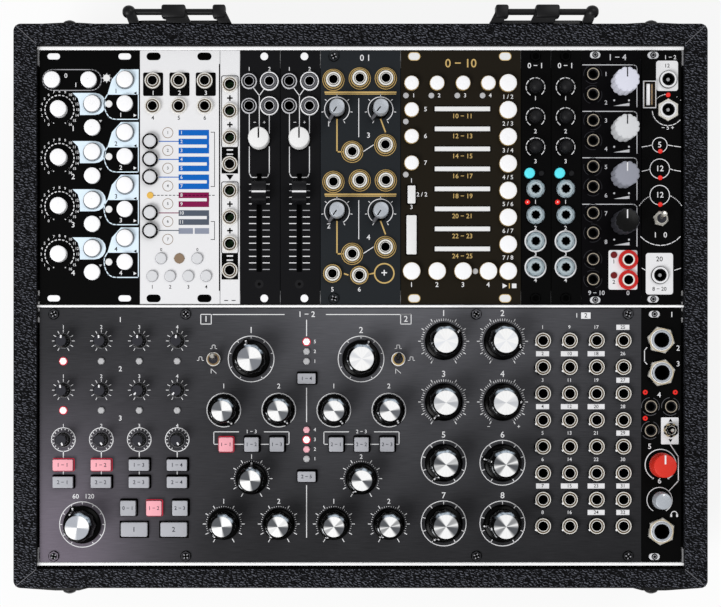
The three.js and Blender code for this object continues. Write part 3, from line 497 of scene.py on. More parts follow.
# A painted glow: flat red halos round lit lamps and under lit keys.
LAMP_HALO = Finish("lamp_halo", (196, 40, 62), 0.5, glow=0.3)
LAMP_PINK = Finish("lamp_pink", (228, 168, 178), 0.4, glow=0.08)
LAMP_RED = Finish("lamp_red", (206, 40, 34), 0.35, glow=0.3)
LAMP_DARK = Finish("lamp_dark", (104, 14, 16), 0.35)
INK_WHITE = light_ink("ink_white", (226, 226, 228))
INK_GREY = light_ink("ink_grey", (160, 160, 164))
INK_PALE_GREY = light_ink("ink_pale_grey", (196, 196, 200))
INK_FAINT = light_ink("ink_faint", (46, 46, 50))
INK_DIM = light_ink("ink_dim", (92, 92, 96))
INK_BLACK = Finish("ink_black", (4, 4, 5), 0.6, specular=0.05)
INK_PALE = light_ink("ink_pale", (218, 234, 246))
INK_BLUE = ink("ink_blue", (16, 94, 180))
INK_CRIMSON = ink("ink_crimson", (122, 26, 72))
INK_STEEL = ink("ink_steel", (80, 87, 99))
INK_MAUVE = ink("ink_mauve", (134, 140, 156))
INK_GOLD = Finish("ink_gold", (196, 166, 104), 0.5, 0.2)


def kept(work: bmesh.types.BMesh, name: str) -> bpy.types.Mesh:
    """Turns a finished bmesh into a mesh that can be stamped.

    Args:
        work: The bmesh, which is freed.
        name: The mesh's name.

    Returns:
        The mesh.
    """
    mesh = bpy.data.meshes.new(name)
    work.to_mesh(mesh)
    work.free()
    return mesh


@cache
def lathe(profile: Profile, steps: int = 24) -> bpy.types.Mesh:
    """Spins a profile of (radius, height) pairs round Z.

    Args:
        profile: From the axis at the bottom, out and up, back to the axis, or closed on itself.
        steps: The number of sides.

    Returns:
        A closed mesh.
    """
    work = bmesh.new()
    dots = [work.verts.new((radius, 0.0, height)) for radius, height in profile]
    for pair in pairwise(dots):
        work.edges.new(pair)
    if profile[0][0] > 0:
        work.edges.new((dots[-1], dots[0]))
    geom = [*work.verts, *work.edges]
    turn = {"cent": (0, 0, 0), "axis": (0, 0, 1), "angle": math.tau}
    bmesh.ops.spin(work, geom=geom, steps=steps, use_merge=True, **turn)
    bmesh.ops.remove_doubles(work, verts=work.verts, dist=0.0001)
    bmesh.ops.recalc_face_normals(work, faces=work.faces)
    return kept(work, "lathe")


@cache
def cuboid(width: float, length: float, height: float, edge: float = 0.0) -> bpy.types.Mesh:
    """Makes a box on z = 0, centred on X and Y, with its edges rounded."""
    work = bmesh.new()
    bmesh.ops.create_cube(work, size=1.0)
    bmesh.ops.translate(work, verts=work.verts, vec=(0, 0, 0.5))
    bmesh.ops.scale(work, verts=work.verts, vec=(width, length, height))
    if edge:
        soften(work, list(work.edges), edge)
    return kept(work, "cuboid")


def soften(work: bmesh.types.BMesh, edges: list, width: float) -> None:
    """Bevels edges by a width."""
    how = {"offset_type": "OFFSET", "segments": 2, "profile": 0.5, "affect": "EDGES", "material": -1}
    bmesh.ops.bevel(work, geom=edges, offset=width, **how)


def raise_faces(work: bmesh.types.BMesh, height: float, share: float = 1.0) -> None:
    """Extrudes the only face upwards, scales its top by a share and makes the normals face out."""
    made = bmesh.ops.extrude_face_region(work, geom=list(work.faces), use_keep_orig=True)
    lifted = [part for part in made["geom"] if isinstance(part, bmesh.types.BMVert)]
    bmesh.ops.translate(work, verts=lifted, vec=(0, 0, height))
    bmesh.ops.scale(work, verts=lifted, vec=(share, share, 1))
    bmesh.ops.recalc_face_normals(work, faces=work.faces)


@cache
def slab(
    outline: tuple[Share, ...], low: float, high: float, edge: float = 0.0, share: float = 1.0
) -> bpy.types.Mesh:
    """Raises an outline of (x, y) pairs to a height, with rounded upper edges and a scaled top."""
    work = bmesh.new()
    work.faces.new([work.verts.new((x, y, low)) for x, y in outline])
    raise_faces(work, high - low, share)
    if edge:
        rim = [e for e in work.edges if all(abs(v.co.z - high) < edge / 2 for v in e.verts)]
        soften(work, rim, edge)
    return kept(work, "slab")


@cache
def band(radius: float, width: float, start: float = 0.0, sweep: float = FULL_TURN) -> bpy.types.Mesh:
    """Makes a flat arc of a printed ring, clockwise from a start angle."""
    per_step = 9.0
    work = bmesh.new()
    ends = [work.verts.new((0, radius + side * width / 2, 0)) for side in (-1, 1)]
    line = work.edges.new(ends)
    bmesh.ops.rotate(work, verts=ends, matrix=Matrix.Rotation(-math.radians(start), 3, "Z"))
    turn = {"cent": (0, 0, 0), "axis": (0, 0, 1), "angle": -math.radians(sweep)}
    steps = max(2, round(sweep / per_step))
    bmesh.ops.spin(work, geom=[*ends, line], steps=steps, use_merge=sweep >= FULL_TURN, **turn)
    return upward(work)


@cache
def blot(radius: float, sides: int = 20) -> bpy.types.Mesh:
    """Makes a flat printed disc."""
    work = bmesh.new()
    bmesh.ops.create_circle(work, cap_ends=True, segments=sides, radius=radius)
    return upward(work)


@cache
def patch(outline: tuple[Share, ...], holes: tuple[tuple[float, float, float], ...] = ()) -> bpy.types.Mesh:
    """Makes a flat printed area from an outline of (x, y) pairs, with round holes of (x, y, radius)."""
    work = bmesh.new()
    sides = 32
    loops = [list(outline)]
    for x, y, radius in holes:
        turns = [math.tau * i / sides for i in range(sides)]
        loops.append([(x + radius * math.cos(turn), y + radius * math.sin(turn)) for turn in turns])
    for loop in loops:
        verts = [work.verts.new((x, y, 0)) for x, y in loop]
        for start, end in zip(verts, [*verts[1:], verts[0]]):
            work.edges.new((start, end))
    bmesh.ops.triangle_fill(work, use_beauty=False, use_dissolve=False, edges=list(work.edges))
    return upward(work)


@cache
def bar(width: float, length: float) -> bpy.types.Mesh:
    """Makes a flat printed rectangle, centred."""
    x, y = width / 2, length / 2
    return patch(((-x, -y), (x, -y), (x, y), (-x, y)))


@cache
def figure(text: str, height: float) -> bpy.types.Mesh:
    """Makes flat printed numbers or signs, centred, with a cap height in millimetres."""
    cap_share = 0.69
    curve = bpy.data.curves.new("figure", "FONT")
    curve.body = text
    curve.size = height / cap_share
    curve.align_x = "CENTER"
    curve.align_y = "CENTER"
    curve.resolution_u = 3
    curve.offset = height * 0.012
    holder = bpy.data.objects.new("figure", curve)
    mesh = bpy.data.meshes.new_from_object(holder)
    bpy.data.objects.remove(holder)
    bpy.data.curves.remove(curve)
    work = bmesh.new()
    work.from_mesh(mesh)
    bpy.data.meshes.remove(mesh)
    bmesh.ops.remove_doubles(work, verts=work.verts, dist=0.0001)
    return upward(work)


def upward(work: bmesh.types.BMesh) -> bpy.types.Mesh:
    """Turns flat faces to face up and keeps the mesh."""
    work.normal_update()
    down = [face for face in work.faces if face.normal.z < 0]
    bmesh.ops.reverse_faces(work, faces=down)
    return kept(work, "print")


def spread(start: float, end: float, count: int) -> list[float]:
    """Gives evenly spaced numbers from start to end."""
    return [start + (end - start) * i / (count - 1) for i in range(count)]


def dial(count: int) -> list[float]:
    """Gives evenly spaced angles over a knob's range."""
    return spread(-KNOB_REACH, KNOB_REACH, count)


def grid(columns: Iterable[float], rows: Iterable[float]) -> list[Share]:
    """Gives the places where columns and rows cross, column by column."""
    rows = list(rows)
    return [(x, y) for x in columns for y in rows]


def rounded(width: float, length: float, radius: float, steps: int = 5) -> tuple[Share, ...]:
    """Gives the outline of a rectangle with round corners, counter-clockwise."""
    corners = ((1, 1, 0), (-1, 1, 90), (-1, -1, 180), (1, -1, 270))
    outline = []
    for x_sign, y_sign, start in corners:
        x, y = x_sign * (width / 2 - radius), y_sign * (length / 2 - radius)
        for angle in map(math.radians, spread(start, start + 90, steps + 1)):
            outline.append((x + radius * math.cos(angle), y + radius * math.sin(angle)))
    return tuple(outline)


def polar(count: int, radius: Callable[[float], float]) -> tuple[Share, ...]:
    """Gives the outline of several points from its radius at each turn, from +Y counter-clockwise."""
    turns = [math.tau * i / count for i in range(count)]
    return tuple((-radius(turn) * math.sin(turn), radius(turn) * math.cos(turn)) for turn in turns)


def move(x: float, y: float, z: float = 0.0) -> Matrix:
    """Gives the matrix of a move in millimetres."""
    return Matrix.Translation((x, y, z))


def seat(x: float, y: float, z: float = 0.0, turn: float = 0.0) -> Matrix:
    """Gives the matrix of a place in millimetres and a clockwise turn."""
    return move(x, y, z) @ Matrix.Rotation(-math.radians(turn), 4, "Z")


def placed(name: str, data: bpy.types.ID) -> bpy.types.Object:
    """Makes an object of some data and links it to the scene."""
    made = bpy.data.objects.new(name, data)
    bpy.context.scene.collection.objects.link(made)
    return made


class Piece:
    """A piece in the making: closed parts in millimetres, stamped into one mesh."""

    def __init__(self, name: str, *finishes: Finish) -> None:
        """Starts an empty piece.

        Args:
            name: The piece's name.
            finishes: Its finishes. Each part names one by its number.
        """
        self.name = name
        self.finishes = finishes
        self.work = bmesh.new()

    def stamp(self, part: bpy.types.Mesh, place: Matrix, finish: int = 0) -> "Piece":
        """Adds a part.

        Args:
            part: A mesh in millimetres.
            place: Where it goes.
            finish: The number of its finish.

        Returns:
            The piece itself.
        """
        first_vert, first_face = len(self.work.verts), len(self.work.faces)
        self.work.from_mesh(part)
        self.work.verts.ensure_lookup_table()
        self.work.faces.ensure_lookup_table()
        self.work.verts.index_update()
        bmesh.ops.transform(self.work, matrix=place, verts=self.work.verts[first_vert:])
        for face in self.work.faces[first_face:]:
            face.material_index = finish
        return self

    def finish(self, body: str, slot: str, *replaced: str) -> bpy.types.Object:
        """Makes the object.

        Args:
            body: The body that it rides on.
            slot: The record's material slot; not used.
            replaced: The CAD nodes that it stands for.

        Returns:
            The object.
        """
        bmesh.ops.scale(self.work, vec=(MM, MM, MM), verts=self.work.verts)
        mesh = kept(self.work, self.name)
        for one in self.finishes:
            mesh.materials.append(one.material())
        mesh.shade_smooth()
        mesh.set_sharp_from_angle(angle=math.radians(SMOOTH_ANGLE))
        made = placed(self.name, mesh)
        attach(made, body)
        if replaced:
            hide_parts(*replaced)
        LOG.info("%s: %d faces", self.name, len(mesh.polygons))
        return made


def dress_node(node: str, finish: Finish) -> None:
    """Gives a CAD node that stays a finish."""
    mesh = frame["nodes"][node].data
    mesh.materials.clear()
    mesh.materials.append(finish.material())


LIP_RISE = 0.3
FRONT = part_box("upper_rail")[1].z / MM - LIP_RISE
PRINT_LIFT = 0.03
# Takes a slab's X and Y to Y and Z, and its height to X.
UPRIGHT = Matrix.Rotation(math.radians(90), 4, "Y") @ Matrix.Rotation(math.radians(90), 4, "Z")


class Panel:
    """The face of one module, with the places of what is on it."""

    def __init__(self, node: str) -> None:
        """Reads the panel's outline.

        Args:
            node: The panel's CAD node.
        """
        low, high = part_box(node)
        self.node = node
        self.left, self.top = low.x / MM, high.y / MM
        self.width, self.height = (high.x - low.x) / MM, (high.y - low.y) / MM

    def spot(self, share: Share, lift: float = 0.0, turn: float = 0.0) -> Matrix:
        """Gives the place of a share of the panel, lifted from its face and turned clockwise."""
        x = self.left + share[0] * self.width
        y = self.top - share[1] * self.height
        return seat(x, y, FRONT + lift, turn)


class Print:
    """Printed marks on a panel in one ink."""

    def __init__(self, panel: Panel, name: str, ink: Finish, layer: int = 1, base: float = 0.0) -> None:
        """Starts a print.

        Args:
            panel: The panel that it is on.
            name: The piece's name.
            ink: The ink.
            layer: How many prints deep it lies over the bare surface.
            base: The height of that surface over the panel's face.
        """
        self.panel = panel
        self.piece = Piece(name, ink)
        self.lift = base + layer * PRINT_LIFT

    def put(self, mark: bpy.types.Mesh, share: Share, turn: float = 0.0, offset: Share = (0, 0)) -> None:
        """Adds a mark at a share of the panel, turned, after an offset in millimetres."""
        place = self.panel.spot(share, self.lift, turn) @ move(*offset)
        self.piece.stamp(mark, place)

    def text(
        self, text: object, height: float, share: Share, turn: float = 0.0, offset: Share = (0, 0)
    ) -> None:
        """Adds numbers or signs of a cap height, turned, after an offset in millimetres."""
        self.put(figure(str(text), height), share, turn, offset)

    def line(self, width: float, *shares: Share) -> None:
        """Draws a line of a width through several places."""
        places = [self.panel.spot(share, self.lift).translation for share in shares]
        for start, end in pairwise(places):
            along = end - start
            angle = math.degrees(math.atan2(along.x, along.y))
            middle = (start + end) / 2
            mark = bar(width, along.length + width)
            self.piece.stamp(mark, seat(*middle, turn=angle))

    def ticks(self, share: Share, radius: float, size: Share, angles: list[float]) -> None:
        """Draws ticks of a size outwards from a radius at several angles."""
        width, length = size
        for angle in angles:
            self.put(bar(width, length), share, angle, (0, radius + length / 2))

    def area(self, share: Share, outline: Profile) -> None:
        """Fills an outline of millimetre offsets round a place."""
        self.put(patch(tuple(outline)), share)

    def stroke(self, share: Share, outline: Profile, width: float, closed: bool = False) -> None:
        """Draws a line through millimetre offsets round a place."""
        points = [*outline, outline[0]] if closed else list(outline)
        for (x0, y0), (x1, y1) in pairwise(points):
            along = math.hypot(x1 - x0, y1 - y0)
            middle = self.panel.spot(share, self.lift) @ move((x0 + x1) / 2, (y0 + y1) / 2, 0)
            turn = Matrix.Rotation(math.atan2(y1 - y0, x1 - x0), 4, "Z")
            self.piece.stamp(bar(along + width, width), middle @ turn)

    def done(self, slot: str) -> None:
        """Finishes the piece."""
        self.piece.finish("case", slot)


def puck(radius: float, high: float, edge: float = 0.3, low: float = 0.0) -> Profile:
    """Gives the profile of a solid disc with a chamfered upper rim."""
    return ((0, low), (radius, low), (radius, high - edge), (radius - edge, high), (0, high))


def dome(radius: float, high: float, crown: float) -> Profile:
    """Gives the profile of a disc whose top is domed by a crown height."""
    turns = spread(0.0, math.pi / 2, 6)
    top = [(radius * math.cos(turn), high - crown + crown * math.sin(turn)) for turn in turns]
    return ((0, 0), (radius, 0), *top)


def collar(outer: float, inner: float, high: float, low: float = 0.0, edge: float = 0.12) -> Profile:
    """Gives the closed profile of a ring with chamfered upper edges."""
    return (
        (inner, low),
        (outer, low),
        (outer, high - edge),
        (outer - edge, high),
        (inner + edge, high),
        (inner, high - edge),
    )


def cup(mouth: float, throat: float, high: float, depth: float) -> Profile:
    """Gives the profile of a dark well that narrows below its mouth."""
    wall, slope = 0.05, 0.45
    return (
        (0, -depth - wall),
        (mouth + wall, -depth - wall),
        (mouth + wall, high),
        (mouth, high),
        (throat, high - slope),
        (throat, -depth),
        (0, -depth),
    )


@dataclass(frozen=True)
class Layer:
    """One part of a fitting, spun round its axis.

    Attributes:
        profile: The part's profile.
        finish: Its finish.
        sides: Its number of sides.
    """

    profile: Profile
    finish: Finish
    sides: int = 24


class Fitting:
    """A small fitting that a panel has several of, made of layers round one axis."""

    def __init__(self, *layers: Layer) -> None:
        """Takes the layers, from the outside in."""
        self.layers = layers

    def group(self, name: str, places: list[Matrix], slot: str) -> None:
        """Makes one piece of several like fittings.

        Args:
            name: The piece's name.
            places: Where they are.
            slot: The record's material slot.
        """
        piece = Piece(name, *(layer.finish for layer in self.layers))
        for place in places:
            for i, layer in enumerate(self.layers):
                piece.stamp(lathe(layer.profile, layer.sides), place, i)
        piece.finish("case", slot)


def socket(ring: Finish, groove: Finish, radius: float, bore: float = 2.2, lip: Finish = STEEL) -> Fitting:
    """Gives a patch socket: a ring, a groove between dark lines, a bright lip and a dark well.

    Args:
        ring: The outer ring's finish.
        groove: The groove's finish.
        radius: The outer ring's radius.
        bore: The well's radius.
        lip: The lip's finish.

    Returns:
        The fitting.
    """
    rim, line, edge = 0.6, 0.3, 0.4
    inner = bore + edge + line
    return Fitting(
        Layer(collar(radius, radius - rim, 1.95, edge=0.2), ring, 32),
        Layer(collar(radius - rim + 0.05, bore + 0.1, 1.85), DARK_NUT),
        Layer(collar(radius - rim - line, inner, 2.1), groove),
        Layer(collar(bore + edge, bore, 2.5), lip),
        Layer(cup(bore, 1.85, 2.4, 8.0), BORE_BLACK, 20),
    )


def hex_socket() -> Fitting:
    """Gives a patch socket on a dark hexagonal nut."""
    return Fitting(
        Layer(collar(4.6, 3.0, 2.3, edge=0.45), DARK_NUT, 6),
        Layer(collar(3.95, 3.5, 2.6), SILVER_METAL),
        Layer(collar(3.55, 2.7, 2.4), DARK_NUT),
        Layer(collar(3.3, 3.1, 2.5, edge=0.05), BROWN_METAL),
        Layer(collar(2.8, 2.4, 2.7), STEEL),
        Layer(cup(2.4, 1.85, 2.6, 8.0), BORE_BLACK, 20),
    )


def thin_socket(high: float) -> Fitting:
    """Gives a patch socket with a thin dark nut of a height."""
    return Fitting(
        Layer(collar(3.3, 2.7, high, edge=0.2), DARK_NUT),
        Layer(collar(3.1, 2.65, high + 0.3), DIM_STEEL),
        Layer(cup(2.65, 2.0, high + 0.2, 8.0), KNOB_SATIN, 20),
    )


def ringed_cap(radius: float, outer: float, ring: Finish, high: float = 1.9) -> Fitting:
    """Gives a round white cap in a ring of an outer radius and a height."""
    return Fitting(
        Layer(dome(radius, 2.9, 0.4), CAP_WHITE, 32),
        Layer(collar(outer, radius - 0.05, high), ring, 32),
    )


def toggle_base(nut: Finish, ring: Finish, bushing: Finish) -> Fitting:
    """Gives the nut, ring and bushing round a toggle's lever."""
    return Fitting(
        Layer(collar(3.95, 3.1, 1.85, edge=0.35), nut, 6),
        Layer(collar(3.55, 2.95, 2.05), ring, 32),
        Layer(collar(3.05, 2.3, 3.75, edge=0.2), bushing, 32),
        Layer(puck(2.35, 3.65, 0.1), KNOB_TOP, 32),
    )


@dataclass(frozen=True)
class KnobGloss(Finish):
    """Gloss plastic of a skirted knob, with a painted sheen and a painted glint on its shoulder, standing in
    for reflections.

    Attributes:
        centre: The knob's axis in metres.
        foot: The height in metres where the shoulder starts.
        rim: The radius in metres where the shoulder turns down.
        middle: The sheen's middle in degrees from X, counter-clockwise.
        glint: How bright the glint is, up to 1.
        sheen: The display colour of the painted sheen.
    """

    centre: tuple[float, float, float] = (0.0, 0.0, 0.0)
    foot: float = 0.0
    rim: float = 0.0
    middle: float = 60.0
    glint: float = 1.0
    sheen: Tint = (166, 178, 190)

    def dress(self, graph: Graph) -> None:
        """Paints the sheen and the glint, as reflections, over the mottle."""
        spread, glint_middle, glint_spread = 38.0, 208.0, 20.0
        cloud = graph.noise(self.grain)
        angle, radius = graph.around(self.centre)
        shoulder = graph.axis("Z").between(self.foot, self.foot + 0.6 * MM)
        # Painted sheen: a pale patch on the shoulder round the middle angle.
        pale = graph.sector(angle, self.middle, spread, 24.0) * shoulder * cloud.between(0.3, 0.6, 0.25, 1.0)
        tone = graph.mix(pale, linear(self.tint), linear(self.sheen))
        edge = radius.between(self.rim, self.rim + 0.15 * MM) * shoulder
        # Painted glint: a thin bright arc on the shoulder's edge.
        thin = graph.sector(angle, glint_middle, glint_spread) * edge * cloud.between(0.42, 0.58)
        tone = graph.mix(thin * self.glint, tone, linear((226, 230, 234)))
        self.cover(graph, tone, cloud)


@dataclass(frozen=True)
class Sector:
    """A pair of opposite dark sectors painted on a turned cap, standing in for the reflections that turned
    metal shows.

    Attributes:
        middle: Its middle in degrees from X, counter-clockwise.
        spread: Half its width in degrees.
        weight: How dark it is, up to 1.
    """

    middle: float
    spread: float
    weight: float


@dataclass(frozen=True)
class SpunCap(Finish):
    """A turned aluminium disc with painted reflections: the dark sectors and fine radial streaks that turned
    metal shows.

    Attributes:
        centre: The disc's axis in metres.
        sectors: The pairs of painted dark sectors.
        edge: The width of their soft edges in degrees.
        shade: The display colour of the dark sectors.
    """

    centre: tuple[float, float, float] = (0.0, 0.0, 0.0)
    sectors: tuple[Sector, ...] = ()
    edge: float = 26.0
    shade: Tint = (84, 86, 90)

    def dress(self, graph: Graph) -> None:
        """Paints the dark sectors and fine radial streaks as reflections, and turns fine rings into the
        roughness and bump.
        """
        angle, radius = graph.around(self.centre)
        # Painted reflection: fine radial streaks in the tone.
        ripple = (angle * 11.0).math("SINE") * (angle * 27.0).math("SINE") * 0.5 + 0.5
        tone = graph.mix(ripple * 0.22, linear(self.tint), linear(self.tint, 0.6))
        for sector in self.sectors:
            off = (angle * 2.0 - 2 * math.radians(sector.middle)).math("COSINE")
            limits = [
                math.cos(2 * math.radians(max(0.0, sector.spread + side * self.edge / 2)))
                for side in (1, -1)
            ]
            tone = graph.mix(off.between(*limits, 0.0, sector.weight), tone, linear(self.shade))
        pitch = 0.45 * MM
        rings = (radius * (math.tau / pitch)).math("SINE")
        graph.shade(Base_Color=tone, Roughness=rings.between(-1, 1, 0.3, 0.42))
        graph.bump(rings, self.relief)


class Axle:
    """The axis that a moving knob turns on."""

    def __init__(self, node: str) -> None:
        """Reads a CAD node's joint and the foot of its shaft, in millimetres."""
        joint = next(joint for joint in frame["joints"] if joint["child"] == node)
        self.x, self.y, self.base = (part / MM for part in joint["pos_m"])
        self.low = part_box(node)[0].z / MM - self.base
        self.place = seat(self.x, self.y, self.base)
        self.turned = seat(self.x, self.y, self.base, joint["range_deg"][0] + KNOB_REACH)


@dataclass(frozen=True)
class SkirtedKnob:
    """A knob with a wide gloss skirt, a fluted body, a ridge with white dots and a turned metal cap.

    Attributes:
        skirt: The skirt's radius.
        skirt_edge: The height of the skirt's rim.
        neck: The body's radius at its foot.
        cap: The cap's radius.
        height: The knob's height.
        nose: How far the nose stands out.
        flutes: How many flutes the body has.
        flute_depth: Their depth.
        taper: The size of the body's top as a share of its foot.
    """

    skirt: float = 9.6
    skirt_edge: float = 1.6
    neck: float = 7.9
    cap: float = 6.08
    height: float = 18.0
    nose: float = 0.9
    flutes: int = 9
    flute_depth: float = 0.45
    taper: float = 0.93

    def build(self, node: str, look: "CapLook") -> None:
        """Makes the knob's two pieces in place of its CAD node.

        Args:
            node: The CAD node and the body.
            look: The light painted on its metal cap and its shoulder.
        """
        axle = Axle(node)
        centre = (axle.x * MM, axle.y * MM, 0.0)
        gloss = KnobGloss(
            f"{node}_gloss",
            KNOB_BLACK.tint,
            KNOB_BLACK.roughness,
            specular=0.07,
            relief=0.002,
            grain=1.4,
            centre=centre,
            foot=(axle.base + self.height - 2.6) * MM,
            rim=(self.neck * self.taper - 0.62) * MM,
            middle=look.sheen,
            glint=look.glint,
        )
        piece = Piece(f"{node}_body", gloss, INK_WHITE, INK_GREY)
        piece.stamp(lathe(self.foot_profile(axle.low), 64), axle.place)
        body = slab(self.outline(), self.skirt_edge + 0.2, self.height - 0.2, 0.7, self.taper)
        piece.stamp(body, axle.turned)
        self.add_nose(piece, axle.turned)
        piece.finish(node, "knob_black", node)
        metal = SpunCap(
            f"{node}_metal",
            (250, 250, 250),
            metallic=0.3,
            relief=0.006,
            centre=centre,
            sectors=look.sectors,
            shade=tuple(part * look.shade for part in SpunCap.shade),
        )
        top = lathe(puck(self.cap - 0.05, self.height, 0.2, self.height - 0.35), 48)
        Piece(f"{node}_cap", metal).stamp(top, axle.place).finish(node, "knob_black")

    def foot_profile(self, low: float) -> Profile:
        """Gives the profile of the shaft and the skirt, from the foot of the shaft."""
        shaft = 2.3
        edge, rim = self.skirt_edge, self.skirt
        return (
            (0, low),
            (shaft, low),
            (shaft, 0),
            (rim, 0),
            (rim, edge - 0.6),
            (rim - 0.15, edge - 0.25),
            (rim - 0.45, edge + 0.05),
            (rim - 0.9, edge + 0.28),
            (rim - 1.4, edge + 0.45),
            (self.neck - 0.5, edge + 0.8),
            (0, edge + 0.8),
        )

    def outline(self) -> tuple[Share, ...]:
        """Gives the fluted outline of the body, with a rib towards the pointer."""

        def radius(turn: float) -> float:
            """Gives the body's radius at a turn."""
            return self.neck - self.flute_depth * (0.5 - 0.5 * math.cos(self.flutes * turn))

        return polar(8 * self.flutes, radius)

    def add_nose(self, piece: Piece, turned: Matrix) -> None:
        """Adds the nose, the ridge above it and its white dots."""
        tip, root, half = self.skirt + self.nose, self.skirt * 0.8, 2.6
        outline = ((-half, root), (-half * 0.85, self.skirt - 0.2), (-half * 0.35, tip))
        outline += tuple((-x, y) for x, y in reversed(outline))
        piece.stamp(slab(outline, 0.0, self.skirt_edge, 0.5), turned)
        top, foot = self.neck * self.taper + 0.25, self.neck + 0.9
        high = self.height - 0.7
        side = ((self.cap, self.skirt_edge), (foot, self.skirt_edge), (foot - 0.3, self.skirt_edge + 2.5))
        side += ((top, high - 0.6), (top - 0.6, high), (self.cap, high))
        width = 1.9
        piece.stamp(slab(side, 0, width), turned @ move(-width / 2, 0) @ UPRIGHT)
        for radius, height, size, ink in (
            (top - 0.45, high - 0.15, 0.5, 1),
            (top + 0.3, high * 0.66, 0.3, 2),
            (foot - 0.1, self.skirt_edge + 2.3, 0.35, 2),
            (self.skirt - 0.2, self.skirt_edge - 0.1, 0.48, 1),
        ):
            piece.stamp(lathe(puck(size, 0.3, 0.1), 12), turned @ move(0, radius, height), ink)


@dataclass(frozen=True)
class CapLook:
    """How light is painted on one skirted knob.

    Attributes:
        sectors: The pairs of painted dark sectors of its cap.
        shade: What the brightness of the dark sectors is multiplied by.
        sheen: The middle of its shoulder's painted sheen in degrees.
        glint: How bright its shoulder's glint is.
    """

    sectors: tuple[Sector, ...]
    shade: float
    sheen: float
    glint: float


def look_at(share: float, shade: float, *sectors: tuple[float, float, float]) -> CapLook:
    """Gives the light painted on a knob at a share of the panel's width, with its painted dark sectors."""
    turns = (55.0, 60.0, 75.0, 97.0)
    step = min(2, int(share / 0.24))
    middle = turns[step] + (turns[step + 1] - turns[step]) * min(1.0, share / 0.24 - step)
    glint = 0.95 if share < 0.6 else 0.55
    return CapLook(tuple(Sector(*one) for one in sectors), shade, middle, glint)


LARGE = SkirtedKnob()
MEDIUM = SkirtedKnob(8.0, 1.4, 6.75, 5.17, 16.0, 0.8)


@dataclass(frozen=True)
class RoundKnob:
    """A plain knob with a low skirt and a line on its cap.

    Attributes:
        skirt: The skirt's radius.
        skirt_edge: The skirt's height.
        neck: The cap's radius at its foot.
        neck_height: The height of that place.
        cap: The cap's radius at the top.
        height: The knob's height.
        finishes: The finishes of the skirt, the cap and the line.
        line: The line's width and length.
    """

    skirt: float
    skirt_edge: float
    neck: float
    neck_height: float
    cap: float
    height: float
    finishes: tuple[Finish, Finish, Finish]
    line: Share

    def stamp(self, piece: Piece, place: Matrix, low: float = 0.0) -> None:
        """Stamps the knob into a piece that has its three finishes.

        Args:
            piece: The piece.
            place: The knob's place, turned to its pointer.
            low: The foot of its shaft.
        """
        width, length = self.line
        edge = min(0.7, self.cap * 0.15)
        foot = ((0, low), (2.3, low), (2.3, 0)) if low < 0 else ((0, 0),)
        skirt = (
            *foot,
            (self.skirt, 0),
            (self.skirt, self.skirt_edge * 0.7),
            (self.skirt - 0.3, self.skirt_edge),
            (self.neck, self.neck_height),
            (0, self.neck_height),
        )
        cap = (
            (0, self.neck_height - 0.1),
            (self.neck - 0.03, self.neck_height - 0.1),
            (self.cap, self.height - edge),
            (self.cap - edge * 0.35, self.height - edge * 0.35),
            (self.cap - edge, self.height - 0.05),
            (0, self.height - 0.05),
        )
        piece.stamp(lathe(skirt, 48), place, 0)
        piece.stamp(lathe(cap, 48), place, 1)
        mark = move(0, self.cap - length / 2 - edge * 0.6, self.height - 0.25)
        piece.stamp(cuboid(width, length, 0.25), place @ mark, 2)

    def build(self, node: str, slot: str) -> None:
        """Makes the piece in place of a moving CAD node."""
        axle = Axle(node)
        piece = Piece(f"{node}_body", *self.finishes)
        self.stamp(piece, axle.turned, axle.low)
        piece.finish(node, slot, node)


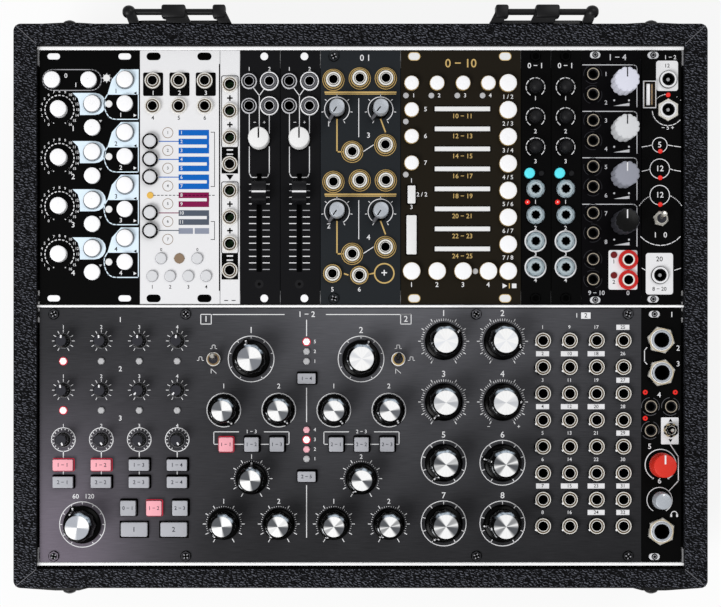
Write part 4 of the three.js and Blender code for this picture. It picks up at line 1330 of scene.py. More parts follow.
class Module:
    """All that is on one panel.

    Attributes:
        name: What the names of its panel and its pieces start with.
        paint: The finish of its panel.
        slot: The name of a record's material slot that its prints pass on when they are finished.
        screw_rows: The rows of its mounting screws.
    """

    name: str
    paint = BLACK_PAINT
    slot = "black_panel"
    screw_rows = (0.0233, 0.9767)

    def __init__(self, letter: str = "") -> None:
        """Finds the panel.

        Args:
            letter: The letter that ends its names, where there are two like modules.
        """
        self.tail = f"_{letter}" if letter else ""
        self.panel = Panel(self.named("panel"))
        self.inks: list[Print] = []

    def named(self, what: str) -> str:
        """Gives the full name of one of its nodes or pieces."""
        return f"{self.name}_{what}{self.tail}"

    def build(self) -> None:
        """Paints the panel and adds its fittings and its prints."""
        dress_node(self.panel.node, self.paint)
        self.fit()
        self.prints()
        for ink in self.inks:
            ink.done(self.slot)

    def ink(self, what: str, finish: Finish, layer: int = 1) -> Print:
        """Starts a print that lies some layers deep."""
        self.inks.append(Print(self.panel, self.named(what), finish, layer))
        return self.inks[-1]

    def group(
        self, what: str, fitting: Fitting, shares: list[Share], slot: str = "toggle", turn: float = 0.0
    ) -> None:
        """Makes one piece of like fittings at several places, all with one clockwise turn."""
        fitting.group(self.named(what), [self.panel.spot(share, 0.0, turn) for share in shares], slot)

    def screws(self, shares: list[Share], finish: Finish, mark: Finish = BORE_BLACK) -> None:
        """Makes domed screws with a raised cross in place of a recess, and a dark spot at its middle as
        painted shade.

        Args:
            shares: Their places.
            finish: The finish of their heads.
            mark: The finish of their crosses: a dark cross is painted shade of the recess, a grey one painted
                glints on its edges.
        """
        piece = Piece(self.named("screws"), finish, mark, BORE_BLACK)
        head = ((0, 0), (2.75, 0), (2.75, 0.35), (2.3, 0.85), (1.3, 1.1), (0, 1.15))
        for i, share in enumerate(shares):
            place = self.panel.spot(share, 0.0, 20.0 + 37.0 * i)
            piece.stamp(lathe(head, 24), place)
            # The dark spot and the cross stand in for the recess: painted shade, or painted glints where the
            # cross is grey.
            piece.stamp(blot(0.75, 12), place @ move(0, 0, 1.2), 2)
            for turn in (0, 90, 180, 270):
                arm = Matrix.Rotation(math.radians(turn), 4, "Z") @ move(0, 1.05, 1.0)
                piece.stamp(cuboid(0.5, 0.8, 0.14), place @ arm, 1)
        piece.finish("case", "hardware")

    def washers(self, shares: list[Share], size: Share) -> None:
        """Makes white slotted washers of a width and length, with a small dark screw in each that carries a
        grey ring as a painted highlight.
        """
        width, length = size
        piece = Piece(self.named("screws"), CAP_PALE, DARK_NUT, INK_GREY)
        for i, share in enumerate(shares):
            place = self.panel.spot(share, 0.0, 25.0 + 40.0 * i)
            washer = slab(rounded(width, length, length / 2 - 0.01), 0.0, 1.1, 0.15)
            piece.stamp(washer, self.panel.spot(share))
            piece.stamp(lathe(dome(1.55, 1.6, 0.4), 20), place, 1)
            # The grey ring on the screw's dome is a painted highlight.
            piece.stamp(lathe(((0.75, 1.5), (1.0, 1.5), (1.0, 1.62), (0.75, 1.66)), 16), place, 2)
        piece.finish("case", "hardware")

    def inlays(
        self, what: str, shares: list[Share], size: Share, finish: Finish, rim: Finish | None = None
    ) -> None:
        """Fills mounting slots or holes a little below the panel's face.

        Args:
            what: The piece's name within the module.
            shares: The places.
            size: The width and length of a slot.
            finish: The finish of what is seen in it.
            rim: The finish of a thin printed rim, where it has one.
        """
        width, length = size
        depth, face, stroke = 1.2, 0.12, 0.35
        piece = Piece(self.named(what), finish, rim or finish)
        fill = slab(rounded(width - 0.06, length - 0.06, length / 2 - 0.04), -depth, -face)
        outer = rounded(width + 2 * stroke, length + 2 * stroke, length / 2 + stroke - 0.01)
        edge = slab(outer, 0.0, PRINT_LIFT)
        cover = slab(rounded(width, length, length / 2 - 0.01), 0.0, PRINT_LIFT)
        for share in shares:
            place = self.panel.spot(share)
            piece.stamp(fill, place)
            if rim:
                piece.stamp(edge, place, 1)
                piece.stamp(cover, place @ move(0, 0, PRINT_LIFT))
        piece.finish("case", "hardware")


class VoiceModule(Module):
    """The wide module of the lower row."""

    name = "voice"
    paint = CHARCOAL_METAL
    slot = "charcoal_panel"
    key_height = 2.5
    centre = 0.4437
    centre_rows = (0.1319, 0.1704, 0.2093, 0.479, 0.5175, 0.5556, 0.5933)
    step_columns = [0.0393 + 0.0631 * i for i in range(4)]
    step_rows = (0.1288, 0.3227, 0.5175)
    assign_columns = (0.3099, 0.3523, 0.3944, 0.4927, 0.5348, 0.5774)
    filter_columns = (0.6716, 0.7694)
    filter_rows = [0.13 + 0.2393 * i for i in range(4)]
    sub_columns = [0.306 + 0.0915 * i for i in range(4)]
    looks = {
        "tempo_knob": look_at(0.07, 1.9, (129, 49, 1.0)),
        "oscillator_knob_1": look_at(0.35, 1.45, (140, 42, 1.0)),
        "oscillator_knob_2": look_at(0.53, 2.2, (157, 10, 0.5), (32, 8, 0.3)),
        "level_knob_1": look_at(0.35, 1.0, (138, 41, 1.0)),
        "level_knob_2": look_at(0.53, 1.0, (157, 26, 1.0)),
        "divider_knob_1": look_at(0.31, 1.2, (138, 41, 1.0)),
        "divider_knob_2": look_at(0.4, 1.2, (143, 35, 1.0)),
        "divider_knob_3": look_at(0.49, 1.2, (153, 27, 1.0)),
        "divider_knob_4": look_at(0.58, 1.2, (160, 30, 1.0)),
        "sub_level_knob_1": look_at(0.31, 1.0, (141, 43, 1.0)),
        "sub_level_knob_2": look_at(0.4, 1.0, (150, 33, 1.0), (32, 8, 0.2)),
        "sub_level_knob_3": look_at(0.49, 1.0, (152, 30, 1.0), (32, 6, 0.6)),
        "sub_level_knob_4": look_at(0.58, 1.0, (155, 28, 1.0), (30, 8, 0.75)),
        "cutoff_knob": look_at(0.67, 2.5, (25, 9, 0.5), (150, 8, 0.3)),
        "volume_knob": look_at(0.77, 2.5, (145, 8, 0.4), (37, 8, 0.4)),
        "resonance_knob": look_at(0.67, 1.8, (170, 14, 0.8), (28, 9, 0.35)),
        "amount_knob": look_at(0.77, 2.0, (173, 13, 0.7), (24, 8, 0.4)),
        "filter_attack_knob": look_at(0.67, 1.0, (161, 21, 1.0), (23, 7, 0.5)),
        "filter_decay_knob": look_at(0.77, 1.0, (163, 20, 1.0), (38, 12, 0.8)),
        "level_attack_knob": look_at(0.67, 1.0, (155, 25, 1.0), (36, 14, 0.7)),
        "level_decay_knob": look_at(0.77, 1.0, (155, 25, 1.0), (36, 14, 0.8)),
    }
    socket_columns = [0.8361 + 0.0445 * i for i in range(4)]
    socket_rows = [0.1276 + 0.1042 * i for i in range(8)]

    def __init__(self) -> None:
        """Finds the panel and starts its two inks."""
        super().__init__()
        self.white = self.ink("print_white", INK_WHITE)
        self.dark = self.ink("print_dark", INK_BLACK, 2)

    def fit(self) -> None:
        """Adds the knobs, keys, lamps, sockets and toggles."""
        for node, look in self.looks.items():
            (MEDIUM if node.startswith(("divider", "sub", "level_knob")) else LARGE).build(node, look)
        self.step_knobs()
        self.keys()
        self.moving_keys()
        self.lamps()
        self.sockets()
        toggles = ((0.2892, STEEL, BROWN_METAL), (0.5961, CAP_WHITE, GOLD))
        for i, (x, ring, bushing) in enumerate(toggles):
            base, place = toggle_base(DARK_NUT, ring, bushing), self.panel.spot((x, 0.2006), 0.0, 15.0)
            base.group(f"wave_toggle_base_{i + 1}", [place], "toggle")

    def prints(self) -> None:
        """Prints the four parts of the panel."""
        self.print_steps()
        self.print_middle()
        self.print_filters()
        self.print_sockets()

    def step_knobs(self) -> None:
        """Makes the twelve small knobs of the step rows."""
        pointers = ((4, -4, 0, 5), (-5, 0, -144, -143), (160, 146, 149, 146))
        body = ((0, 0), (3.78, 0), (3.78, 0.7), (3.55, 0.98), (3.15, 1.1))
        body += ((3.08, 8.5), (2.85, 9.0), (2.6, 9.12), (0, 9.12))
        ring = ((3.7, 0.0), (3.9, 0.0), (3.9, 0.3), (3.7, 0.3))
        dot = cuboid(0.85, 1.5, 0.3, 0.1)
        piece = Piece("step_knobs", KNOB_BLACK, INK_WHITE, INK_GREY, KNOB_TOP)
        for row, angles in zip(self.step_rows, pointers):
            for column, angle in zip(self.step_columns, angles):
                place = self.panel.spot((column, row), 0.0, angle)
                piece.stamp(lathe(body, 28), place)
                piece.stamp(lathe(ring, 28), place, 2)
                piece.stamp(lathe(puck(2.72, 9.24, 0.2, 9.0), 24), place, 3)
                piece.stamp(dot, place @ move(0, 2.05, 9.0), 1)
        piece.finish("case", "knob_black")

    def keys(self) -> None:
        """Makes the square and oblong keys with their numbers, the lit ones in pink, each on a wider flat
        sheet offset up and to the right: black under the grey keys as a painted shadow, glowing red under the
        pink ones as a painted glow.
        """
        step, square, assign, oblong = (10.4, 5.9), (7.9, 7.8), (7.4, 7.4), (9.3, 5.4)
        keys = [
            ((x, y), step, j == 0 and i < 2, f"{j + 1} − {i + 1}", 1.9)
            for i, x in enumerate(self.step_columns)
            for j, y in enumerate((0.6172, 0.6851))
        ]
        for i, x in enumerate((0.1475, 0.1905, 0.2336)):
            keys.append(((x, 0.7868), square, i == 1, f"{i} − {i + 1}", 1.8))
        for i, x in enumerate(self.assign_columns):
            keys.append(((x, 0.5363), assign, i == 0, f"{i // 3 + 1} − {i % 3 + 1}", 1.8))
        for i, y in enumerate((0.2772, 0.6627)):
            keys.append(((self.centre, y), oblong, False, f"{i + 1} − {4 + i}", 1.8))
        grey, pink = Piece("keys_grey", KEY_GREY, BORE_BLACK), Piece("keys_pink", KEY_PINK, LAMP_HALO)
        numbers = Print(self.panel, "key_numbers", KEY_INK, 1, self.key_height)
        for share, (width, length), is_lit, text, cap_height in keys:
            piece, place = pink if is_lit else grey, self.panel.spot(share)
            # The sheet under each key is painted light: a black painted shadow under a grey key, a narrow red
            # painted glow under a lit one.
            around, shift = (0.8, 0.1) if is_lit else (1.3, 0.3)
            shade = slab(rounded(width + around, length + around, 0.9, 3), 0.0, 0.15)
            piece.stamp(shade, place @ move(shift, shift), 1)
            piece.stamp(slab(rounded(width, length, 0.7, 3), 0.0, self.key_height, 0.4), place)
            numbers.text(text, cap_height, share)
        grey.finish("case", "key")
        pink.finish("case", "key")
        numbers.done("key")

    def moving_keys(self) -> None:
        """Makes the two wide keys, their numbers and a dark ring of painted shade round each key's window."""
        for count, node in enumerate(("play_key", "trigger_key"), 1):
            low, high = (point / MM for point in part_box(node))
            middle, size = (low + high) / 2, high - low
            face = slab(rounded(size.x, size.y, 0.8, 3), low.z, high.z, 0.4)
            Piece(f"{node}_cap", KEY_GREY).stamp(face, seat(middle.x, middle.y)).finish(node, "key", node)
            digit = seat(middle.x, middle.y, high.z + PRINT_LIFT)
            Piece(f"{node}_number", KEY_INK).stamp(figure(str(count), 2.4), digit).finish(node, "key")
            # A dark ring laid on the panel round the key: painted shade in the gap.
            edge = Piece(f"{node}_window", BORE_BLACK)
            outer, inner = ((size.x / 2 + gap, size.y / 2 + gap) for gap in (0.75, 0.1))
            add_frame(edge, seat(middle.x, middle.y, FRONT), outer, inner, 0.12)
            edge.finish("case", "key")

    def lamps(self) -> None:
        """Makes the lamps, with a flat red halo of painted glow round each lit one."""
        off = Piece("voice_lamps_off", LAMP_OFF)
        lit = Piece("voice_lamps_lit", LAMP_LIT, LAMP_HALO)
        pink = Piece("voice_lamps_pink", LAMP_PINK)
        dome = ((0, 0), (1.7, 0), (1.7, 0.8), (1.35, 1.1), (0, 1.15))
        halo = ((0, 0), (2.15, 0), (2.15, 0.1), (1.7, 0.3), (0, 0.3))
        spots = [((x, y), i == 0) for i, x in enumerate(self.step_columns) for y in (0.2085, 0.4024)]
        pink_rows, lit_rows = self.centre_rows[3::2], self.centre_rows[::4]
        spots += [((self.centre, y), y in lit_rows) for y in self.centre_rows if y not in pink_rows]
        for share, is_lit in spots:
            place = self.panel.spot(share)
            (lit if is_lit else off).stamp(lathe(dome, 16), place)
            if is_lit:
                lit.stamp(lathe(halo, 16), place, 1)
        for y in pink_rows:
            pink.stamp(lathe(dome, 16), self.panel.spot((self.centre, y)))
        for piece in (off, lit, pink):
            piece.finish("case", "key")

    def sockets(self) -> None:
        """Makes the patch field, with a white bead on a corner of each nut as a painted highlight, and the
        mounting screws.
        """
        shares = grid(self.socket_columns, self.socket_rows)
        self.group("sockets", hex_socket(), shares, turn=0.0)
        # Each glint is a white bead, a painted highlight.
        glints = Piece("voice_socket_glints", CAP_WHITE)
        for share in shares:
            place = self.panel.spot(share, 1.5, 240.0)
            glints.stamp(lathe(dome(0.65, 0.62, 0.3), 12), place @ move(0, 3.9, 0))
        glints.finish("case", "toggle")
        shares = grid((0.0235, 0.243, 0.7258, 0.978), self.screw_rows)
        self.screws(shares, SCREW_BLACK, INK_GREY)

    def print_steps(self) -> None:
        """Prints the left part: ticks, rings, numbers and link lines."""
        ink = self.white
        for group, row in enumerate(self.step_rows[:2]):
            for i, column in enumerate(self.step_columns):
                ink.ticks((column, row), 4.25, (0.33, 1.45), dial(11))
                ink.text(i + 1, 1.8, (column, row - 0.054))
            ink.text(group + 1, 2.5, (0.134, row - 0.083))
        for i, column in enumerate(self.step_columns):
            share = (column, 0.5175)
            ink.put(band(6.0, 0.42), share)
            ink.ticks(share, 4.8, (0.38, 1.2), dial(16))
            ink.text(i + 1, 1.8, (column, 0.4635))
            ink.line(0.5, (column, 0.5635), (column, 0.66))
        ink.text("3", 2.5, (0.134, 0.434))
        tempo = (0.0708, 0.852)
        ink.put(band(11.5, 0.42), tempo)
        ink.ticks(tempo, 10.2, (0.38, 1.2), dial(11))
        ink.text("60   120", 2.3, (0.0725, 0.742))

    def print_middle(self) -> None:
        """Prints the oscillator groups."""
        ink = self.white
        for i, column in enumerate((0.3515, 0.5343)):
            ink.put(band(11.6, 0.42), (column, 0.1998))
            ink.ticks((column, 0.1998), 10.4, (0.4, 1.2), dial(9))
            ink.text(i + 1, 3.0, (column, 0.087))
        for i, column in enumerate(self.sub_columns):
            ink.put(band(8.55, 0.38), (column, 0.4013))
            ink.ticks((column, 0.4013), 8.0, (0.36, 0.6), dial(16))
            ink.text(i % 2 + 1, 2.4, (column, 0.3075))
            ink.text(i % 2 + 1, 2.4, (column, 0.7615))
            self.level_scale((column, 0.85))
        for i, column in enumerate((0.3523, 0.5346)):
            self.level_scale((column, 0.6712))
            ink.text(i + 1, 2.2, (column, 0.5855))
        centre = self.centre
        for start, end in ((0.047, 0.108), (0.315, 0.447), (0.699, 0.902)):
            ink.line(0.45, (centre, start), (centre, end))
        ink.line(0.42, (0.288, 0.0247), (0.4065, 0.0247))
        ink.line(0.42, (0.4765, 0.0247), (0.6165, 0.0247))
        for x, text in ((0.2765, "1"), (0.6088, "2")):
            self.box((x, 0.0432), 5.3, 4.9)
            ink.text(text, 2.9, (x, 0.0432))
        ink.text("1 − 2", 2.8, (centre, 0.0247))
        for i, (first, last) in enumerate(((0.2895, 0.4145), (0.4725, 0.5975))):
            self.bracket(first, last)
            ink.text(f"{i + 1} − 3", 1.8, ((first + last) / 2, 0.4865))
        for number, y in zip((5, 2, 1, 4, 3, 2, 1), self.centre_rows):
            ink.text(number, 1.7, (0.4575, y))
        for x, turn in ((0.2892, 1), (0.5961, -1)):
            self.wave_signs(x, turn)

    def box(self, share: Share, width: float, length: float) -> None:
        """Draws a rectangle's outline."""
        stroke = 0.4
        for side in (-1, 1):
            self.white.put(bar(width, stroke), share, 0, (0, side * length / 2))
            self.white.put(bar(stroke, length), share, 0, (side * width / 2, 0))

    def bracket(self, first: float, last: float) -> None:
        """Draws the frame behind a row of assign keys."""
        top, low, gap = 0.487, 0.536, 0.0215
        middle = (first + last) / 2
        self.white.line(0.4, (middle - gap, top), (first, top), (first, low), (last, low))
        self.white.line(0.4, (last, low), (last, top), (middle + gap, top))

    def level_scale(self, share: Share) -> None:
        """Draws ten long ticks and the fine ones between them."""
        self.white.ticks(share, 8.6, (0.42, 2.0), dial(11)[:5] + dial(11)[6:])
        self.white.ticks(share, 8.6, (0.3, 0.45), spread(-120, 120, 33))

    def wave_signs(self, x: float, side: int) -> None:
        """Draws a square wave and ramps beside a toggle."""
        ink, step = self.white, 0.0035
        for down in (0.152, 0.1985):
            at = x if down < 0.19 else x - side * 0.022
            low, high = down + 0.007, down - 0.007
            wave = ((-1.5, low), (-0.7, low), (-0.7, high), (0.7, high), (0.7, low), (1.5, low))
            ink.line(0.28, *[(at + step * dx, y) for dx, y in wave])
        ramp = ((-1.2, 0.256), (-1.2, 0.238), (1.2, 0.256))
        ink.line(0.28, *[(x + step * dx, y) for dx, y in ramp])

    def print_filters(self) -> None:
        """Prints the scales of the eight large knobs."""
        ink = self.white
        for j, row in enumerate(self.filter_rows):
            for i, column in enumerate(self.filter_columns):
                share = (column, row)
                ink.text(2 * j + i + 1, 3.0, (column, row - 0.1095))
                if j < 2:
                    ink.ticks(share, 10.3, (0.42, 2.6), [a for a in dial(11) if abs(a) > 1])
                    ink.ticks(share, 10.3, (0.3, 1.2), dial(51))
                else:
                    ink.put(band(11.4, 0.42), share)
                    ink.ticks(share, 9.5, (0.42, 1.9), spread(-148, 148, 9))
        for x, text in ((0.7465, "−"), (0.7965, "+")):
            ink.text(text, 2.0, (x, 0.467))

    def print_sockets(self) -> None:
        """Prints numbers over the sockets, some dark on white plates."""
        plates = {0: (3,), 1: (0, 1, 2), 2: (3,), 3: (0, 1, 2), 4: (3,), 6: (0, 1, 2, 3), 7: (2, 3)}
        for j, row in enumerate(self.socket_rows):
            for i, column in enumerate(self.socket_columns):
                share = (column, row - 0.0525)
                number = figure(str(8 * i + j + 1), 1.75)
                if i in plates.get(j, ()):
                    self.white.put(bar(8.6 if i in (1, 2) else 6.6, 2.6), share)
                    self.dark.put(number, share)
                else:
                    self.white.put(number, share)
        self.white.put(bar(4.8, 3.2), (0.908, 0.029))
        self.dark.text("2", 2.2, (0.908, 0.029))
        self.white.text("1", 2.2, (0.893, 0.029))


def add_frame(
    piece: Piece, place: Matrix, outer: Share, inner: Share, height: float, finish: int = 0
) -> None:
    """Stamps a flat rectangular ring of four bars, from half sizes, in one of the piece's finishes."""
    x, y = (outer[0] + inner[0]) / 2, (outer[1] + inner[1]) / 2
    for side in (-1, 1):
        level = cuboid(2 * outer[0], outer[1] - inner[1], height)
        piece.stamp(level, place @ move(0, side * y, 0), finish)
        upright = cuboid(outer[0] - inner[0], 2 * inner[1], height)
        piece.stamp(upright, place @ move(side * x, 0, 0), finish)


def scaled(pixels: list[Share]) -> tuple[Share, ...]:
    """Turns offsets counted in the view's pixels into millimetres."""
    return tuple((x * Studio.pixel, y * Studio.pixel) for x, y in pixels)


def arc(radius: float, start: float, end: float, centre: Share = (0.0, 0.0)) -> list[Share]:
    """Gives points of an arc, clockwise from start to end."""
    turns = map(math.radians, spread(start, end, 9))
    return [(centre[0] + radius * math.sin(turn), centre[1] + radius * math.cos(turn)) for turn in turns]


class ClockModule(Module):
    """Four dials, each with round caps beside it, and a pair of caps for each output."""

    name = "clock"
    repeats = range(4)
    dials = [(0.198, 0.2337 + 0.1897 * i) for i in repeats]
    inputs = [(0.529, 0.2106 + 0.1897 * i) for i in repeats]
    resets = [(0.53, 0.3047 + 0.1897 * i) for i in repeats]
    clocks = [(0.856, 0.116 + 0.2076 * i) for i in repeats]
    outputs = [(0.856, 0.2106 + 0.2076 * i) for i in repeats]
    lamps = [(0.694, 0.2106 + 0.2076 * i) for i in repeats]
    tap = [(0.127, 0.117)]
    master = [(0.4945, 0.117)]

    def fit(self) -> None:
        """Adds the fittings."""
        ringed = ringed_cap(4.1, 4.3, INK_DIM, 1.2)
        plain = Fitting(Layer(dome(4.02, 2.9, 0.4), CAP_WHITE, 32))
        high = Fitting(Layer(dome(4.1, 5.3, 0.45), CAP_WHITE, 32))
        self.group("dials", high, self.dials, "key")
        self.group("input_caps", ringed, self.tap + self.inputs + self.clocks, "key")
        self.group("output_caps", plain, self.master + self.resets + self.outputs, "key")
        lamp = Fitting(Layer(puck(1.8, 0.7, 0.2), CAP_LIGHT, 16))
        self.inlays("slots", grid((0.14, 0.852), self.screw_rows), (6.5, 3.2), CAP_WHITE)
        self.group("lamps", lamp, [(0.672, 0.1086), *self.lamps], "key")

    def prints(self) -> None:
        """Prints scales, numbers and the pale areas."""
        white, grey = self.ink("print_white", INK_WHITE), self.ink("print_grey", INK_GREY)
        pale, dark = self.ink("print_pale", INK_PALE), self.ink("print_dark", INK_BLACK, 2)
        grey.stroke((0.3235, 0.1163), rounded(29.8, 10.5, 5.2), 0.42, closed=True)
        white.ticks((0.672, 0.1086), 1.7, (0.32, 0.75), spread(0, 315, 8))
        for digit, share in enumerate(((0.262, 0.1), (0.362, 0.136))):
            white.text(digit, 2.2, share)
        for number, share in enumerate(self.dials, 1):
            white.ticks(share, 7.1, (1.15, 0.5), spread(-120, 120, 17))
            for side in (-1, 1):
                white.stroke(share, arc(7.35, 128 * side, 156 * side), 0.5)
            for i, angle in enumerate(spread(-144, 144, 17)):
                white.text(i, 1.3, share, 0, arc(9.3, angle, angle)[0])
            white.text(number, 2.6, (0.335, share[1] + 0.0745))
        tab = [(-20.1, 11), (-14.6, 5.7), (-12.6, -2.3), (-12.6, -11.1), *arc(11, 180, 0, (2.4, 0))]
        for share in self.inputs:
            pale.area(share, scaled(tab))
            dark.put(band(4.6, 0.25), share)
        plate = [(-4.2, 10.6), (13.6, 10.6), (13.6, -14.7), (-17.7, -14.7), (-13.2, 0.6)]
        frame_line = [(-17.7, -14.7), (-20.5, -19.5), (-21.1, -23.9), (-20.5, -28.4), (-18.9, -32.9)]
        frame_line += [(-16.4, -36.7), (-12.8, -38.9), (-8.9, -39.4), (13.3, -39.4), (13.3, -14.7)]
        for number, share in enumerate(self.clocks, 1):
            pale.area(share, scaled(plate))
            pale.stroke(share, scaled(frame_line), 0.5)
            dark.put(band(4.6, 0.25), share)
            dark.text(number, 2.2, share, 0, (-4.6, -5.7))
            dark.area(share, scaled([(8.5, -13.2), (11.5, -11.6), (11.5, -14.8)]))
            white.area(share, scaled([(8.5, -33.8), (8.5, -37.0), (11.5, -35.4)]))
            white.text(number, 2.2, share, 0, (-2.2, -17.8))
        for share in self.resets:
            white.area(share, scaled([(6.4, 7.7), (9.4, 7.7), (7.9, 5.3)]))


class QuantizerModule(Module):
    """Six sockets, ring buttons and colour bars."""

    name = "quantizer"
    paint = SILVER_PAINT
    slot = "silver_panel"
    columns = (0.16, 0.487, 0.813)
    button_rows = (0.3584, 0.4288, 0.4992, 0.64, 0.7104)
    low_columns = (0.1535, 0.378, 0.6067, 0.83)
    middle_row = 0.8192

    def fit(self) -> None:
        """Adds the fittings."""
        plain = socket(SILVER_METAL, BROWN_METAL, 4.0, 2.3)
        self.group("sockets", plain, grid(self.columns, (0.12, 0.22)))
        self.inlays("slots", grid((0.17, 0.808), self.screw_rows), (6.5, 3.2), BORE_BLACK, BORE_BLACK)
        ring = Fitting(
            Layer(collar(3.95, 2.85, 2.3, edge=0.3), INK_BLACK, 32),
            Layer(puck(2.9, 2.5, 0.3), CAP_PALE, 32),
        )
        self.group("buttons", ring, [(0.1275, y) for y in self.button_rows], "key")
        small = Fitting(Layer(puck(2.75, 1.35, 0.35), CAP_PALE), Layer(collar(3.0, 2.7, 0.4), INK_GREY))
        lower = [(x, 0.8886) for x in self.low_columns] + [(x, self.middle_row) for x in (0.2647, 0.719)]
        self.group("low_buttons", small, lower, "key")
        disc = Fitting(Layer(puck(2.6, 0.5, 0.2), CAP_BROWN))
        self.group("centre", disc, [(0.493, self.middle_row)], "key")
        self.group("lamp", Fitting(Layer(puck(1.7, 0.5, 0.2), CAP_AMBER, 16)), [(0.127, 0.5706)], "key")

    def prints(self) -> None:
        """Prints the plates, bars and leader lines."""
        black, thin = self.ink("print_black", INK_BLACK), self.ink("print_thin", CAP_BROWN)
        light = self.ink("print_light", INK_WHITE, 2)
        colours = {"blue": INK_BLUE, "crimson": INK_CRIMSON, "steel": INK_STEEL, "mauve": INK_MAUVE}
        blue, crimson, steel, mauve = (self.ink(f"print_{name}", ink) for name, ink in colours.items())
        for i, x in enumerate((0.164, 0.495, 0.825)):
            black.put(patch(rounded(10.2, 11.9, 0.8)), (x, 0.133))
            light.text(i + 1, 2.2, (x, 0.168))
            black.text(i + 4, 2.0, (self.columns[i], 0.266))
        for i, y in enumerate(spread(0.324, 0.744, 7)):
            thin.put(band(2.6, 0.3), (0.348, y))
            black.text(i + 1, 1.4, (0.348, y))
        self.bars((blue, blue, blue, crimson, steel), mauve, light)
        for x in (0.265, 0.719):
            black.text("0", 1.5, (x, self.middle_row), 0, (0, 4.4))
        for i, x in enumerate(self.low_columns):
            black.text(i + 1, 1.8, (x, 0.932))
        black.line(0.3, (0.89, 0.322), (0.935, 0.322), (0.935, 0.536), (0.89, 0.536))
        black.line(0.3, (0.89, 0.674), (0.935, 0.674), (0.935, 0.745), (0.89, 0.745))
        for x in spread(0.18, 0.92, 16):
            black.put(bar(1.3, 0.35), (x, 0.5706))
        black.line(0.5, (0.996, 0.055), (0.996, 0.945))
        thin.line(0.6, (0.43, self.middle_row), (0.556, self.middle_row))
        thin.line(0.6, (0.493, 0.8), (0.493, 0.838))

    def bars(self, inks: tuple[Print, ...], last: Print, light: Print) -> None:
        """Prints the colour bars with their numbers.

        Args:
            inks: The ink of each set of linked bars. The first set has three bars, the others two.
            last: The ink of the two half bars below.
            light: The ink of the numbers.
        """
        row, pitch, high = 0.324, 0.0352, 2.9
        number = 1
        for step, ink in enumerate(inks):
            for i in range(2 if step else 3):
                ink.put(bar(15.4, high), (0.675, row))
                light.text(number, 1.7, (0.52, row))
                number += 1
                if i:
                    ink.put(bar(1.2, 1.62), (0.853, row - pitch / 2))
                row += pitch
        for x in (0.574, 0.776):
            last.put(bar(7.3, high), (x, row))
        for ink, y in zip(inks, (0.358, 0.429, 0.499, 0.64, 0.709)):
            ink.line(0.45, (0.24, y), (0.487, y))


class SumModule(Module):
    """A column of eight sockets in two groups."""

    name = "sum"
    paint = SILVER_PAINT
    slot = "silver_panel"

    def fit(self) -> None:
        """Adds the fittings."""
        shares = [(0.49, 0.135 + 0.1045 * i) for i in range(8)]
        plain = socket(SILVER_METAL, BROWN_METAL, 4.0, 2.35)
        green = Layer(puck(1.87, -1.7, 0.1, -2.0), SOCKET_GREEN, 12)
        self.group("sockets", Fitting(*plain.layers, green), shares)

    def prints(self) -> None:
        """Prints the frames, bars and plus signs of both groups."""
        black, light = self.ink("print_black", INK_BLACK), self.ink("print_light", INK_WHITE, 2)
        for top in (0.0992, 0.5169):
            black.stroke((0.49, top + 0.1416), rounded(8.4, 36.2, 0.9), 0.4, closed=True)
            black.put(bar(8.4, 13.2), (0.49, top + 0.3342))
            for y in (0.397, 0.414):
                light.put(bar(3.2, 0.7), (0.49, top + y - 0.1045))
            for y in (0.0883, 0.193):
                for turn in (0, 90):
                    black.put(bar(2.8, 0.8), (0.49, top + y), turn)
        black.area((0.49, 0.5), ((-2, 1.4), (2, 1.4), (0, -1.4)))
        for x in (0.3, 0.68):
            black.put(bar(2.0, 0.4), (x, 0.985))


